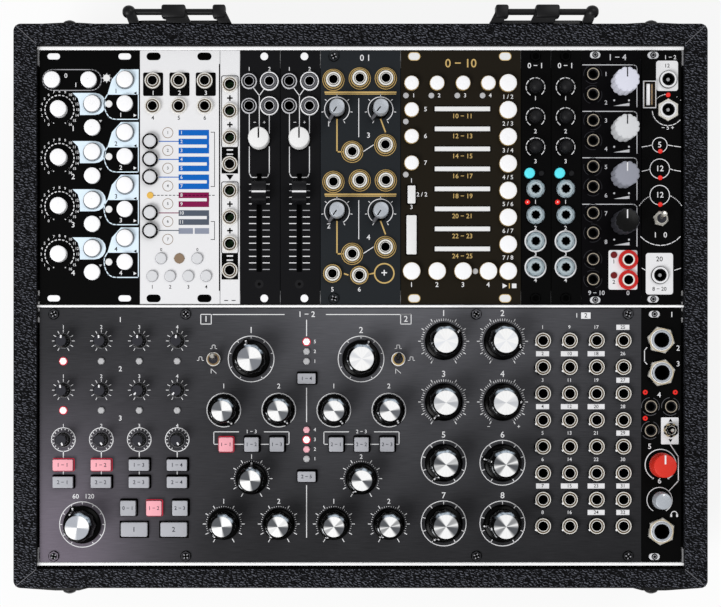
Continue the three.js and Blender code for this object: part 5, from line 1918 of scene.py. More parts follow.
class FaderModule(Module):
    """Four sockets, a knob and a slider in its groove."""

    name = "fader"
    paint = SLATE_PAINT
    slot = "slate_panel"
    knob = RoundKnob(5.9, 0.8, 5.35, 1.4, 5.25, 9.0, (KNOB_BLACK, CAP_LIGHT, INK_BLACK), (0.75, 5.1))
    columns = (0.222, 0.734)
    rows = (0.1224, 0.2196)
    cap_lift = 0.8

    def fit(self) -> None:
        """Adds the fittings."""
        left, right = self.columns
        dark = socket(INK_PALE_GREY, DARK_NUT, 3.95, lip=INK_GREY)
        self.group("sockets", dark, [(left, y) for y in self.rows])
        self.inlays("holes", [(0.604, y) for y in self.screw_rows], (3.2, 3.2), CAP_WHITE, CAP_WHITE)
        ring = socket(CAP_WHITE, INK_DIM, 4.75, lip=INK_PALE_GREY)
        self.group("ring_sockets", ring, [(right, y) for y in self.rows])
        self.knob.build(self.named("knob"), "knob_white")
        self.slider(f"slider_cap{self.tail}")

    def slider(self, node: str) -> None:
        """Makes the slider's cap with its white line and its stem."""
        low, high = (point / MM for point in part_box(node))
        middle = (low + high) / 2
        base, top = FRONT + self.cap_lift, high.z
        half, width = (high.y - low.y) / 2, high.x - low.x
        rise, dish = top - base, 2.4
        profile = [(-half, 0), (half, 0), (half * 0.9, rise * 0.7), (half * 0.8, rise), (half * 0.62, rise)]
        dip = [(half * share, rise - dish * (1 - (share / 0.62) ** 2)) for share in spread(0.5, -0.5, 7)]
        profile += [*dip, (-half * 0.62, rise), (-half * 0.8, rise), (-half * 0.9, rise * 0.7)]
        piece = Piece(f"{node}_body", KNOB_SATIN, INK_WHITE)
        place = move(middle.x - width / 2, middle.y, base) @ UPRIGHT
        piece.stamp(slab(tuple(profile), 0, width), place)
        stem = cuboid(1.9, 2.9, base - low.z + 0.1)
        piece.stamp(stem, seat(middle.x, middle.y, low.z))
        piece.stamp(cuboid(width - 0.2, 0.9, 0.3), seat(middle.x, middle.y, top - dish - 0.1), 1)
        piece.finish(node, "knob_black", node)

    def prints(self) -> None:
        """Prints the slider's scale and the lines between the sockets."""
        ink = self.ink("print", INK_WHITE)
        faint = self.ink("print_faint", INK_GREY)
        for i, y in enumerate(spread(0.5267, 0.8627, 14)):
            for x in (0.309, 0.652):
                (faint if i % 3 == 1 else ink).put(bar(3.6, 0.42), (x, y))
        middle = 0.478
        ink.line(0.4, (0.33, 0.147), (middle, 0.178), (middle, 0.305))
        ink.line(0.4, (0.62, 0.147), (middle, 0.178))
        for side in (-1, 1):
            x = middle + side * 0.253
            ink.line(0.4, (x, 0.25), (x, 0.325))
            ink.line(0.4, (x, 0.38), (x, 0.484), (middle + side * 0.2, 0.5), (middle + side * 0.07, 0.5))
        for i, x in enumerate((0.362, 0.605)):
            ink.text("−+"[i], 1.8, (x, 0.2839))
        for i, x in enumerate(self.columns):
            ink.text(i + 1, 1.9, (x, 0.0735))
        lamp = (0.475, 0.9205)
        self.ink("lamp_rim", KNOB_SATIN).put(blot(2.25), lamp)
        self.group("lamp", Fitting(Layer(puck(0.8, 0.3, 0.1), INK_BLACK, 12)), [lamp])


class GateModule(Module):
    """Two like channels of sockets and knobs, and a pair of output sockets."""

    name = "gate"
    paint = GATE_PAINT
    slot = "slate_panel"
    channel = 0.402
    socket_shares = ((0.16, 0.116), (0.4906, 0.1102), (0.8177, 0.1102), (0.8115, 0.3725), (0.3958, 0.3992))
    knob_columns = (0.2047, 0.7516)
    knob_row = 0.2322
    outputs = ((0.1473, 0.8792), (0.4844, 0.8859))
    knob = RoundKnob(4.9, 2.0, 3.95, 3.0, 3.8, 11.6, (KNOB_BLACK, CAP_SILVER, INK_BLACK), (0.6, 3.0))

    def fit(self) -> None:
        """Adds the fittings."""
        self.screws([(0.166, y) for y in self.screw_rows], DARK_NUT, INK_GREY)
        inputs = [(x, y + i * self.channel) for i in range(2) for x, y in self.socket_shares]
        self.group("sockets", socket(GOLD, STEEL, 4.7), [*self.outputs, *inputs])
        pointers = (-148, -140, -144, -148)
        piece = Piece(self.named("knobs"), *self.knob.finishes, INK_DIM)
        nose = slab(((-0.9, 3.0), (0.9, 3.0), (0.7, 6.9), (-0.7, 6.9)), 0.0, 4.9, 0.4)
        for i, angle in enumerate(pointers):
            share = (self.knob_columns[i % 2], self.knob_row + i // 2 * self.channel)
            place = self.panel.spot(share, 0.0, angle)
            self.knob.stamp(piece, place)
            piece.stamp(nose, place, 3)
        piece.finish("case", "knob_white")

    def prints(self) -> None:
        """Prints gold bands and rings and thin pale lines between the controls."""
        gold, pale = self.ink("print_gold", INK_GOLD), self.ink("print_pale", INK_WHITE)
        for i in range(2):
            shift = i * self.channel
            for x in self.knob_columns:
                share = (x, self.knob_row + shift)
                pale.put(band(6.3, 0.4, *KNOB_SWEEP), share)
                pale.ticks(share, 6.9, (0.35, 1.1), dial(7))
            for ink, width, *shares in (
                (gold, 0.9, (0.06, 0.165), (0.94, 0.165)),
                (gold, 0.45, (0.06, 0.172), (0.94, 0.172)),
                (gold, 0.7, (0.2047, 0.27), (0.2047, 0.3992), (0.27, 0.3992)),
                (gold, 0.7, (0.7516, 0.27), (0.8115, 0.32)),
                (pale, 0.4, (0.53, 0.3992), (0.66, 0.3725)),
                (pale, 0.4, (0.478, 0.19), (0.478, 0.34)),
            ):
                ink.line(width, *((x, y + shift) for x, y in shares))
            for x, y in self.socket_shares:
                gold.put(band(5.4, 0.35), (x, y + shift))
            pale.text(i + 1, 2.6, (0.1, 0.29 + shift))
            pale.text(i + 3, 2.6, (0.6, 0.335 + shift))
        port = (0.798, 0.878)
        gold.put(band(4.9, 0.7), port)
        gold.line(0.7, (0.66, 0.878), (0.55, 0.886))
        gold.line(0.7, (0.3, 0.88), (0.34, 0.884))
        pale.text("+", 4.0, port)
        for number, (x, _) in enumerate(self.outputs, 5):
            pale.text(number, 2.2, (x, 0.942))
        pale.text("0 1", 3.0, (0.56, 0.03))


class SequencerModule(Module):
    """Round caps down both sides and below, and eight long light slots."""

    name = "sequencer"
    paint = BROWN_PAINT
    slot = "brown_panel"
    columns = (0.0883, 0.3006, 0.5171, 0.7277)
    pitch = 0.10566
    first = 0.1302
    last = first + 7 * pitch
    slot_rows = [0.2302 + 0.0788 * i for i in range(8)]

    def fit(self) -> None:
        """Adds the fittings."""
        shares = [(x, self.first) for x in self.columns]
        shares += [(self.columns[0], self.first + i * (self.pitch - 0.001)) for i in range(1, 4)]
        self.group("small_caps", ringed_cap(3.5, 3.75, GOLD), shares, "key")
        shares = [(x, self.last) for x in self.columns]
        shares += [(0.8926, self.first + i * self.pitch) for i in range(8)]
        self.group("wide_caps", ringed_cap(4.3, 4.5, GOLD), shares, "key")
        lamp = Fitting(Layer(puck(1.45, 0.6, 0.2), LAMP_OFF, 16))
        self.inlays("slots", grid((0.1107, 0.87), self.screw_rows), (5.6, 3.6), CAP_LIGHT, GOLD)
        shares = [(x - 0.0465, 0.1776) for x in self.columns]
        shares += [(0.041, 0.28), (0.041, 0.489), (0.621, 0.87)]
        self.group("lamps", lamp, shares, "key")
        self.switches()

    def switches(self) -> None:
        """Makes the switch and the tall light, and frames round the light slots."""
        frames, lights = Piece("sequencer_frames", BORE_BLACK), Piece("sequencer_lights", CAP_LIGHT)
        low = move(0, 0, -1.7)
        for y in self.slot_rows:
            place = self.panel.spot((0.5129, y))
            lights.stamp(cuboid(28.1, 2.4, 1.65), place @ low)
            add_frame(frames, place, (14.5, 1.6), (14.05, 1.2), 0.12)
        for share, size in (((0.0878, 0.5682), (4.0, 9.1)), ((0.0878, 0.7267), (5.1, 19.8))):
            place = self.panel.spot(share)
            half = (size[0] / 2, size[1] / 2)
            lights.stamp(slab(rounded(*size, 0.5), 0.0, 1.35, 0.25), place)
            add_frame(frames, place, (half[0] + 0.45, half[1] + 0.45), half, 0.3)
        frames.finish("case", "key")
        lights.finish("case", "key")

    def prints(self) -> None:
        """Prints gold and white numbers."""
        gold, white = self.ink("print_gold", INK_GOLD), self.ink("print_white", INK_WHITE)
        for i, x in enumerate(self.columns):
            white.text(i + 1, 2.0, (x + 0.018, 0.1776))
            white.text(i + 1, 2.4, (x, self.last + 0.0535))
        for i in range(7):
            white.text(f"{i + 1} / {i + 2}", 2.1, (0.8926, self.first + (i + 0.5) * self.pitch))
        for i, y in enumerate(self.slot_rows):
            gold.text(f"{2 * i + 10} − {2 * i + 11}", 2.3, (0.5129, y + 0.029))
        for i in range(1, 4):
            white.text(i + 4, 2.2, (0.205, self.first + i * self.pitch - 0.004))
        gold.text("0 − 10", 4.2, (0.5, 0.052))
        low = self.last + 0.0575
        white.area((0.868, low), ((-1.2, 1.3), (1.2, 0), (-1.2, -1.3)))
        gold.put(bar(0.5, 2.6), (0.905, low))
        white.put(bar(2.3, 2.3), (0.945, low))
        for share, text in (((0.0878, 0.513), "1"), ((0.175, 0.568), "2 / 2"), ((0.0878, 0.6175), "3")):
            white.text(text, 2.1, share)


class EffectsModule(Module):
    """Three small knobs, a lit button and four sockets in one column."""

    name = "effects"
    column = 0.479
    knob_rows = [0.1443 + i * 0.1183 for i in range(3)]
    rows = [0.5455 + i * 0.1029 for i in range(4)]

    def fit(self) -> None:
        """Adds the fittings."""
        self.screws([(self.column, y) for y in self.screw_rows], BORE_BLACK)
        knob = Fitting(Layer(dome(3.3, 7.3, 2.6), KNOB_SATIN, 32))
        self.group("knobs", knob, [(self.column, y) for y in self.knob_rows], "knob_black")
        self.group("light", Fitting(Layer(dome(2.6, 2.75, 0.5), CAP_CYAN, 24)), [(0.27, 0.4843)], "key")
        self.group("button", Fitting(Layer(puck(1.4, 1.2, 0.3), KNOB_SATIN, 16)), [(0.677, 0.4843)], "key")
        lamp = Fitting(Layer(dome(1.3, 0.8, 0.4), LAMP_RED, 16), Layer(puck(0.35, 0.9, 0.1), CAP_WHITE, 8))
        self.group("lamp", lamp, [(0.207, 0.5976)], "key")
        ring = Fitting(
            Layer(collar(4.65, 3.0, 1.9, edge=0.5), BLUED, 32),
            Layer(collar(3.9, 2.2, 2.5, edge=0.55), BLUED_LIGHT, 8),
            Layer(cup(2.25, 1.9, 2.1, 8.0), BORE_BLACK, 20),
        )
        self.group("sockets", ring, [(self.column, y) for y in self.rows])

    def prints(self) -> None:
        """Prints the rings round the controls and the numbers."""
        ink = self.ink("print", INK_WHITE)
        for i, y in enumerate(self.knob_rows):
            for start in spread(-148, 112, 8):
                ink.put(band(4.75, 0.42, start, 29), (self.column, y))
            ink.text(i + 1, 2.1, (self.column, y + 0.0565 - 0.012 * (i == 0)))
        for i, y in enumerate(self.rows):
            ink.text(i + 1, 2.0, (self.column, y + 0.0515))
        for y in self.rows[2:]:
            ink.put(band(5.15, 0.75), (self.column, y))
        ink.text("0 − 1", 2.6, (self.column, 0.0605))


@dataclass(frozen=True)
class LobedKnob:
    """A knob whose outline runs in and out round a circle, with a line on its top.

    Attributes:
        radius: Its mean radius.
        height: Its height.
        depth: How far the outline runs in and out, as a share of the radius.
        lobes: How many times it does.
    """

    radius: float = 6.02
    height: float = 13.0
    depth: float = 0.045
    lobes: int = 12

    def build(self, node: str, slot: str, cap: Finish, mark: Finish, side: Finish) -> None:
        """Makes the piece in place of a moving CAD node."""
        axle, shaft = Axle(node), 2.3
        place = axle.turned
        piece = Piece(f"{node}_body", cap, mark, side)
        piece.stamp(slab(self.outline(0.0), 0.0, self.height - 0.4, 0.3), place, 2)
        piece.stamp(slab(self.outline(0.45), self.height - 0.9, self.height - 0.08, 0.2), place)
        piece.stamp(slab(polar(12, lambda _: shaft), axle.low, 0.2), place, 2)
        line = move(0, self.radius * 0.56, self.height - 0.25)
        piece.stamp(cuboid(0.6, self.radius * 0.72, 0.25), place @ line, 1)
        piece.finish(node, slot, node)

    def outline(self, inset: float) -> tuple[Share, ...]:
        """Gives the lobed outline, drawn in by an inset."""

        def radius(turn: float) -> float:
            """Gives the cap's radius at a turn."""
            wave = abs(math.sin(self.lobes * turn / 2)) ** 0.7
            return self.radius * (1 - self.depth + 2 * self.depth * wave) - 0.02 - inset

        return polar(8 * self.lobes, radius)


class MixerModule(Module):
    """Four channels, each with two sockets and a lobed knob, and four sockets below."""

    name = "mixer"
    paint = PLUM_PAINT
    inputs = [(0.188, y + 0.182 * i) for i in range(5) for y in (0.0945, 0.1735)]
    lamp_rows = (0.8055, 0.886)
    knob_rows = [0.1298 + 0.183 * i for i in range(4)]

    def fit(self) -> None:
        """Adds the fittings."""
        self.group("sockets", thin_socket(1.6), self.inputs)
        self.group("output_sockets", Fitting(
            Layer(collar(4.9, 3.1, 1.95, edge=0.3), RED_RING, 32),
            Layer(collar(4.15, 3.9, 2.05), LAMP_CORE, 32),
            Layer(collar(3.15, 2.35, 2.4), SILVER_METAL),
            Layer(cup(2.35, 1.85, 2.3, 8.0), BORE_BLACK, 20),
        ), [(0.779, y) for y in (0.8247, 0.9043)])
        lamps = Fitting(Layer(puck(1.7, 0.6, 0.2), LAMP_DARK, 16))
        self.group("lamps", lamps, [(0.5417, y) for y in self.lamp_rows], "key")
        # Cap, mark and rim finishes of each knob. The black knob's lighter rim is a painted highlight, the
        # lilac knob's paler rim painted shade.
        tops = (
            (CAP_LILAC, KNOB_TOP, CAP_LILAC),
            (CAP_PALE, KNOB_TOP, CAP_PALE),
            (CAP_GREY, INK_WHITE, CAP_GREY),
            (KNOB_BLACK, INK_WHITE, KNOB_TOP),
        )
        slots = ("knob_white", "knob_white", "knob_grey", "knob_black")
        for i, finishes in enumerate(tops):
            LobedKnob().build(f"mixer_knob_{i + 1}", slots[i], *finishes)

    def prints(self) -> None:
        """Prints the section lines, level wedges and the white plate."""
        ink, dim = self.ink("print_white", INK_PALE_GREY), self.ink("print_dim", INK_FAINT)
        plate, dark = self.ink("plate", INK_WHITE), self.ink("plate_signs", INK_BLACK, 2)
        for i, y in enumerate(self.knob_rows):
            top = y - 0.073
            bend = ((0.87, top), (0.915, top + 0.004), (0.93, top + 0.012))
            ink.line(0.42, (0.02, top), *bend, (0.93, top + 0.165))
            for x in (0.548, 0.795):
                ink.put(blot(0.5), (x, y + 0.0665))
            ink.area((0.67, y + 0.0825), scaled([(-8, -1.6), (8, -1.6), (8, 1.5)]))
            ink.text(2 * i + 1, 2.1, (0.41, y - 0.036))
            ink.text(2 * i + 2, 2.1, (0.41, y + 0.076))
        for k, share in enumerate(self.inputs):
            for start in (20, 150, 260):
                dim.put(band(4.6, 0.28, start + 47 * k, 80), share)
        holes = tuple((0.085 * self.panel.width, side * 0.0398 * self.panel.height, 3.0) for side in (-1, 1))
        plate.put(patch(rounded(14.6, 20.0, 1.0), holes), (0.694, 0.8645))
        for i, y in enumerate(self.lamp_rows):
            dark.text(i + 1, 2.0, (0.5417, y + 0.0265))
        ink.text("9 − 10", 2.2, (0.25, 0.956))
        ink.text("0", 2.2, (0.779, 0.956))
        ink.text("1 − 4", 3.0, (0.6, 0.028))
        self.washers([(0.225, 0.0185), (0.225, 0.983)], (5.2, 3.3))


class PowerModule(Module):
    """Power sockets, a charging port and the power switch."""

    name = "power"

    def fit(self) -> None:
        """Adds the fittings."""
        jack = (
            Layer(collar(4.5, 4.1, 0.9, edge=0.2), DARK_NUT, 32),
            Layer(collar(4.2, 3.1, 1.75, edge=0.25), INK_WHITE, 32),
            Layer(collar(3.2, 2.6, 1.5), KNOB_SATIN, 32),
            Layer(cup(2.65, 2.45, 1.4, 6.5), BORE_BLACK, 24),
            Layer(puck(0.93, 0.6, 0.2, -6.5), RAIL_GREY, 16),
        )
        self.group("jacks", Fitting(*jack), [(0.664, 0.1149), (0.457, 0.8855)])
        nut = Layer(collar(5.75, 3.4, 1.15, edge=0.3), NUT_METAL, 6)
        self.group("nut_jack", Fitting(nut, *jack), [(0.664, 0.2341)], turn=30.0)
        lamps = [(0.668, 0.175), (0.466, 0.397), (0.466, 0.5016), (0.466, 0.607)]
        self.group("lamps", Fitting(Layer(dome(1.2, 0.75, 0.35), LAMP_RED, 16)), lamps, "key")
        self.group("toggle_base", toggle_base(NUT_METAL, CHROME, CHROME), [(0.4744, 0.6631)], turn=15.0)
        self.port()

    def port(self) -> None:
        """Makes the charging port's shell, its tongue and its contacts."""
        piece = Piece("power_port", CAP_PALE, BROWN_METAL, CAP_WHITE, CAP_BROWN)
        place = self.panel.spot((0.19, 0.1747))
        add_frame(piece, place, (3.25, 6.9), (2.85, 6.5), 1.5)
        for half, length, side in ((2.3, 6.0, 1), (2.9, 6.55, 1)):
            add_frame(piece, place, (half, length), (half - 0.25, length - 0.25), 1.35, side)
        piece.stamp(cuboid(4.5, 11.8, 0.5), place @ move(0, 0, -2.0), 3)
        piece.stamp(cuboid(2.1, 11.0, 2.4), place @ move(-0.9, 0, -1.6), 2)
        piece.stamp(cuboid(1.1, 11.0, 2.2), place @ move(1.35, 0, -1.6), 3)
        for i in range(4):
            contact = move(1.2, 4.2 - 2.8 * i, -1.4)
            piece.stamp(cuboid(0.5, 1.5, 2.1), place @ contact, 1)
        piece.finish("case", "toggle")

    def prints(self) -> None:
        """Prints the plates, lamp rings and lines."""
        ink, dark = self.ink("print", INK_WHITE), self.ink("print_dark", INK_BLACK, 2)
        bore = 3.3
        for size, share, (right, down) in (
            ((11.1, 15.3), (0.6405, 0.0997), (0.0235, 0.0152)),
            ((13.8, 21.0), (0.447, 0.8797), (0.01, 0.0058)),
        ):
            hole = (right * self.panel.width, -down * self.panel.height, bore)
            ink.put(patch(rounded(*size, 1.4), (hole,)), share)
        dark.text("12", 1.9, (0.64, 0.0605))
        dark.text("20", 2.4, (0.447, 0.8225))
        dark.text("8 − 20", 1.9, (0.447, 0.94))
        for i, (y, radius) in enumerate(((0.3722, 3.75), (0.4659, 4.95), (0.5698, 4.95))):
            ink.put(band(radius, 0.38), (0.455, y))
            ink.text(("5", "12", "12")[i], 2.8, (0.455, y))
        ink.stroke((0.664, 0.2341), arc(8.0, 35, 52), 0.38)
        ink.stroke((0.664, 0.2341), arc(8.0, 130, 265), 0.38)
        ink.stroke((0.664, 0.2341), arc(8.0, 300, 350), 0.38)
        for y, sag in ((0.3722, 0.004), (0.4659, 0.005)):
            reach = 0.19 if y < 0.4 else 0.25
            ink.line(0.38, (0.01, y + 2 * sag), (0.16, y + sag), (0.455 - reach, y))
            ink.line(0.38, (0.98, y + 2 * sag), (0.8, y + sag), (0.455 + reach, y))
        ink.stroke((0.4744, 0.6631), arc(12.6, -58, -24), 0.4)
        ink.stroke((0.4744, 0.6631), arc(12.6, 24, 58), 0.4)
        ink.stroke((0.4744, 0.6631), arc(13.5, 132, 228), 0.4)
        ink.line(0.35, (0.01, 0.858), (0.1, 0.866))
        ink.line(0.35, (0.98, 0.858), (0.83, 0.866))
        ink.text("1   0", 2.6, (0.47, 0.7275))
        ink.text("− 5 +", 2.0, (0.66, 0.305))
        ink.text("1 − 2", 2.0, (0.72, 0.0275))
        self.washers([(0.28, 0.0196), (0.28, 0.98)], (5.6, 3.4))


class OutputModule(Module):
    """Line sockets, a cue switch, two knobs and the headphone socket."""

    name = "output"
    small = ((0.219, 0.387), (0.726, 0.387), (0.216, 0.481))
    red = RoundKnob(6.5, 1.2, 6.35, 2.4, 5.8, 12.0, (KNOB_BLACK, CAP_RED, INK_WHITE), (0.8, 4.4))
    grey = RoundKnob(4.85, 1.0, 4.6, 3.0, 4.1, 10.0, (KNOB_BLACK, CAP_SILVER, CAP_WHITE), (0.9, 1.0))

    def fit(self) -> None:
        """Adds the fittings."""
        big = Fitting(
            Layer(collar(7.0, 4.4, 2.7, edge=0.45), NUT_METAL, 6),
            Layer(collar(6.0, 5.6, 2.8, edge=0.05), BRASSY, 40),
            Layer(collar(5.3, 4.9, 3.0), CAP_WHITE, 40),
            Layer(collar(4.95, 3.7, 3.55, edge=0.3), CAP_SILVER, 40),
            Layer(cup(3.75, 3.45, 3.3, 22.0), KNOB_SATIN, 32),
        )
        turned = (((0.473, 0.1256), 13), ((0.4826, 0.254), 47), ((0.478, 0.878), 36))
        for i, (share, turn) in enumerate(turned):
            self.group(f"big_socket_{i + 1}", big, [share], turn=turn)
        self.group("small_sockets", thin_socket(1.7), self.small)
        lamps = [(0.087, 0.331), (0.846, 0.331), (0.087, 0.4335)]
        lamp = Fitting(Layer(puck(1.25, 0.6, 0.2), LAMP_RED, 16), Layer(puck(0.45, 0.7, 0.05), LAMP_CORE, 12))
        self.group("lamps", lamp, lamps, "key")
        self.group("cue_switch", Fitting(
            Layer(collar(3.7, 2.6, 1.7, edge=0.35), BRASSY, 6),
            Layer(collar(2.8, 2.0, 3.2, edge=0.2), STEEL, 32),
            Layer(puck(1.9, 3.0, 0.5), BORE_BLACK, 20),
            Layer(puck(0.9, 6.0, 0.4), CHROME, 16),
        ), [(0.726, 0.48)])
        self.washers([(0.312, 0.0236), (0.312, 0.978)], (5.4, 3.3))
        self.red.build("output_knob", "knob_red")
        self.grey.build("phones_knob", "knob_grey")

    def prints(self) -> None:
        """Prints rings, the white plate and lines."""
        ink, dark = self.ink("print", INK_WHITE), self.ink("print_dark", INK_BLACK, 2)
        dim = self.ink("print_dim", INK_DIM)
        ink.put(patch(rounded(8.9, 13.6, 0.5)), (0.71, 0.4832))
        dark.area((0.726, 0.4415), ((-1, -0.7), (1, -0.7), (0, 0.9)))
        dark.area((0.726, 0.5215), ((-1, 0.7), (1, 0.7), (0, -0.9)))
        for share in self.small:
            for start in (20, 140, 260):
                dim.put(band(4.5, 0.26, start, 95), share)
        ink.put(band(7.85, 0.45, *KNOB_SWEEP), (0.478, 0.617))
        ink.put(band(6.4, 0.35, *KNOB_SWEEP), (0.45, 0.7554))
        for angle in (-KNOB_REACH, KNOB_REACH):
            ink.put(blot(0.45), (0.478, 0.617), 0, arc(7.85, angle, angle)[0])
        ink.line(0.45, (0.72, 0.537), (0.925, 0.585), (0.925, 0.68), (0.69, 0.72))
        ink.line(0.4, (0.13, 0.155), (0.07, 0.165), (0.07, 0.21), (0.13, 0.22))
        numbers = ((0.76, 0.0255), (0.92, 0.158), (0.92, 0.22), (0.44, 0.342), (0.2, 0.545), (0.45, 0.681))
        for i, share in enumerate(numbers):
            ink.text(i + 1, 2.6, share)
        ink.put(band(1.5, 0.4, -95, 190), (0.82, 0.812))
        for side in (-1, 1):
            ink.put(bar(0.9, 1.4), (0.82, 0.812), 0, (1.5 * side, -0.6))


class Studio:
    """Floor, light and camera."""

    view_rise = 1.4  # from the rows' middle to the view's centre
    offset = (-15.4, -33.7)  # from the view's centre to the camera
    pixel = 0.5063
    picture = (721, 607)
    distance = 850.0
    sensor = 36.0

    def build(self) -> None:
        """Sets the whole studio."""
        bpy.context.scene.view_settings.view_transform = "Standard"
        self.floor()
        self.world()
        self.lamp("key", (-0.75, -0.7, 1.15), 0.7, 15.0)
        self.lamp("fill", (0.8, 0.9, 1.6), 1.2, 8.0)
        self.camera()

    def floor(self) -> None:
        """Lays a white floor that looks white and keeps the object's shadow."""
        work = bmesh.new()
        bmesh.ops.create_grid(work, x_segments=1, y_segments=1, size=6.0)
        mesh = kept(work, "floor")
        made = placed("floor", mesh)
        graph = Graph("floor_white")
        graph.shade(Base_Color=(0.86, 0.86, 0.86, 1.0), Roughness=0.9, Specular_IOR_Level=0.0)
        path = graph.node("ShaderNodeLightPath")
        seen = Signal(graph, path.outputs["Is Camera Ray"]) + Signal(graph, path.outputs["Is Glossy Ray"])
        glow = graph.node("ShaderNodeEmission", None, {"Color": (1, 1, 1, 1), "Strength": 1.0})
        values = {0: seen.math("MINIMUM", 1.0) * 0.85, 1: graph.shader.outputs[0], 2: glow.outputs[0]}
        both = graph.node("ShaderNodeMixShader", None, values)
        graph.feed(graph.nodes["Material Output"].inputs["Surface"], both.outputs[0])
        mesh.materials.append(graph.material)

    def world(self) -> None:
        """Gives a soft even light, seen white by the camera."""
        world = bpy.data.worlds.new("studio")
        bpy.context.scene.world = world
        world.use_nodes = True
        nodes, links = world.node_tree.nodes, world.node_tree.links
        background = nodes["Background"]
        path = nodes.new("ShaderNodeLightPath")
        strength = nodes.new("ShaderNodeMapRange")
        links.new(path.outputs["Is Camera Ray"], strength.inputs["Value"])
        strength.inputs["To Min"].default_value = 0.5
        strength.inputs["To Max"].default_value = 1.0
        background.inputs["Color"].default_value = (1.0, 1.0, 1.0, 1.0)
        links.new(strength.outputs[0], background.inputs["Strength"])

    def lamp(self, name: str, place: tuple[float, float, float], size: float, power: float) -> None:
        """Adds a square area lamp that faces the object."""
        data = bpy.data.lights.new(name, "AREA")
        data.size, data.energy = size, power
        made = placed(name, data)
        made.location = place
        aim = Vector((0, 0, 0.1)) - Vector(place)
        made.rotation_euler = aim.to_track_quat("-Z", "Y").to_euler()

    def camera(self) -> None:
        """Puts the camera over the panels, left and below their middle, with the view shifted back to it."""
        data = bpy.data.cameras.new("camera")
        width = self.picture[0] * self.pixel
        data.sensor_width = self.sensor
        data.lens = self.sensor * self.distance / width
        data.clip_start, data.clip_end = 0.05, 20.0
        data.shift_x, data.shift_y = (-part / width for part in self.offset)
        made = placed("camera", data)
        middle = (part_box("clock_panel")[1].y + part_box("voice_panel")[0].y) / (2 * MM)
        x, y = self.offset
        made.location = (x * MM, (middle + self.view_rise + y) * MM, (FRONT + self.distance) * MM)
        bpy.context.scene.camera = made


@dataclass(frozen=True)
class WallPlate:
    """A thin steel plate on a long wall of the case, with a domed rivet.

    Attributes:
        start: Where it starts, counted from the case's side.
        crest: Where it reaches its full thickness.
        brow: Where it begins to fall.
        end: Where it ends.
        thickness: Its thickness.
        rivet: How far its rivet stands out.
    """

    start: float
    crest: float
    brow: float
    end: float
    thickness: float
    rivet: float

    def build(self, name: str, corner: Vector, across: int, out: int) -> None:
        """Makes the piece over the solid one.

        Args:
            name: The piece's name.
            corner: The wall's end at the rim.
            across: The sign of X from the case's side inwards.
            out: The sign of Y out of the wall.
        """
        drop, depth, proud, root = 2.0, 26.0, 0.03, 0.5
        inset, below, radius, steps = 27.4, 8.0, 3.53, 8
        face = self.thickness + proud
        line = ((self.start, -root), (self.end, -root), (self.end, proud))
        line += ((self.brow, face), (self.crest, face), (self.start, proud))
        outline = tuple((across * x, out * y) for x, y in line)
        top = corner.z - drop + proud
        piece = Piece(name, BLACK_METAL)
        piece.stamp(slab(outline, top - depth - 2 * proud, top), seat(corner.x, corner.y))
        rise = self.rivet - self.thickness
        turns = spread(0.0, math.pi / 2, steps + 1)[:-1]
        curve = [(radius * math.cos(turn), face + rise * math.sin(turn) ** 0.8) for turn in turns]
        head = lathe(((0, 0), (radius, 0), *curve, (radius / 3, self.rivet), (0, self.rivet)), 32)
        tipped = Matrix.Rotation(math.radians(-90 * out), 4, "X")
        place = move(corner.x + across * inset, corner.y, corner.z - below)
        piece.stamp(head, place @ tipped)
        piece.finish("case", "hardware")


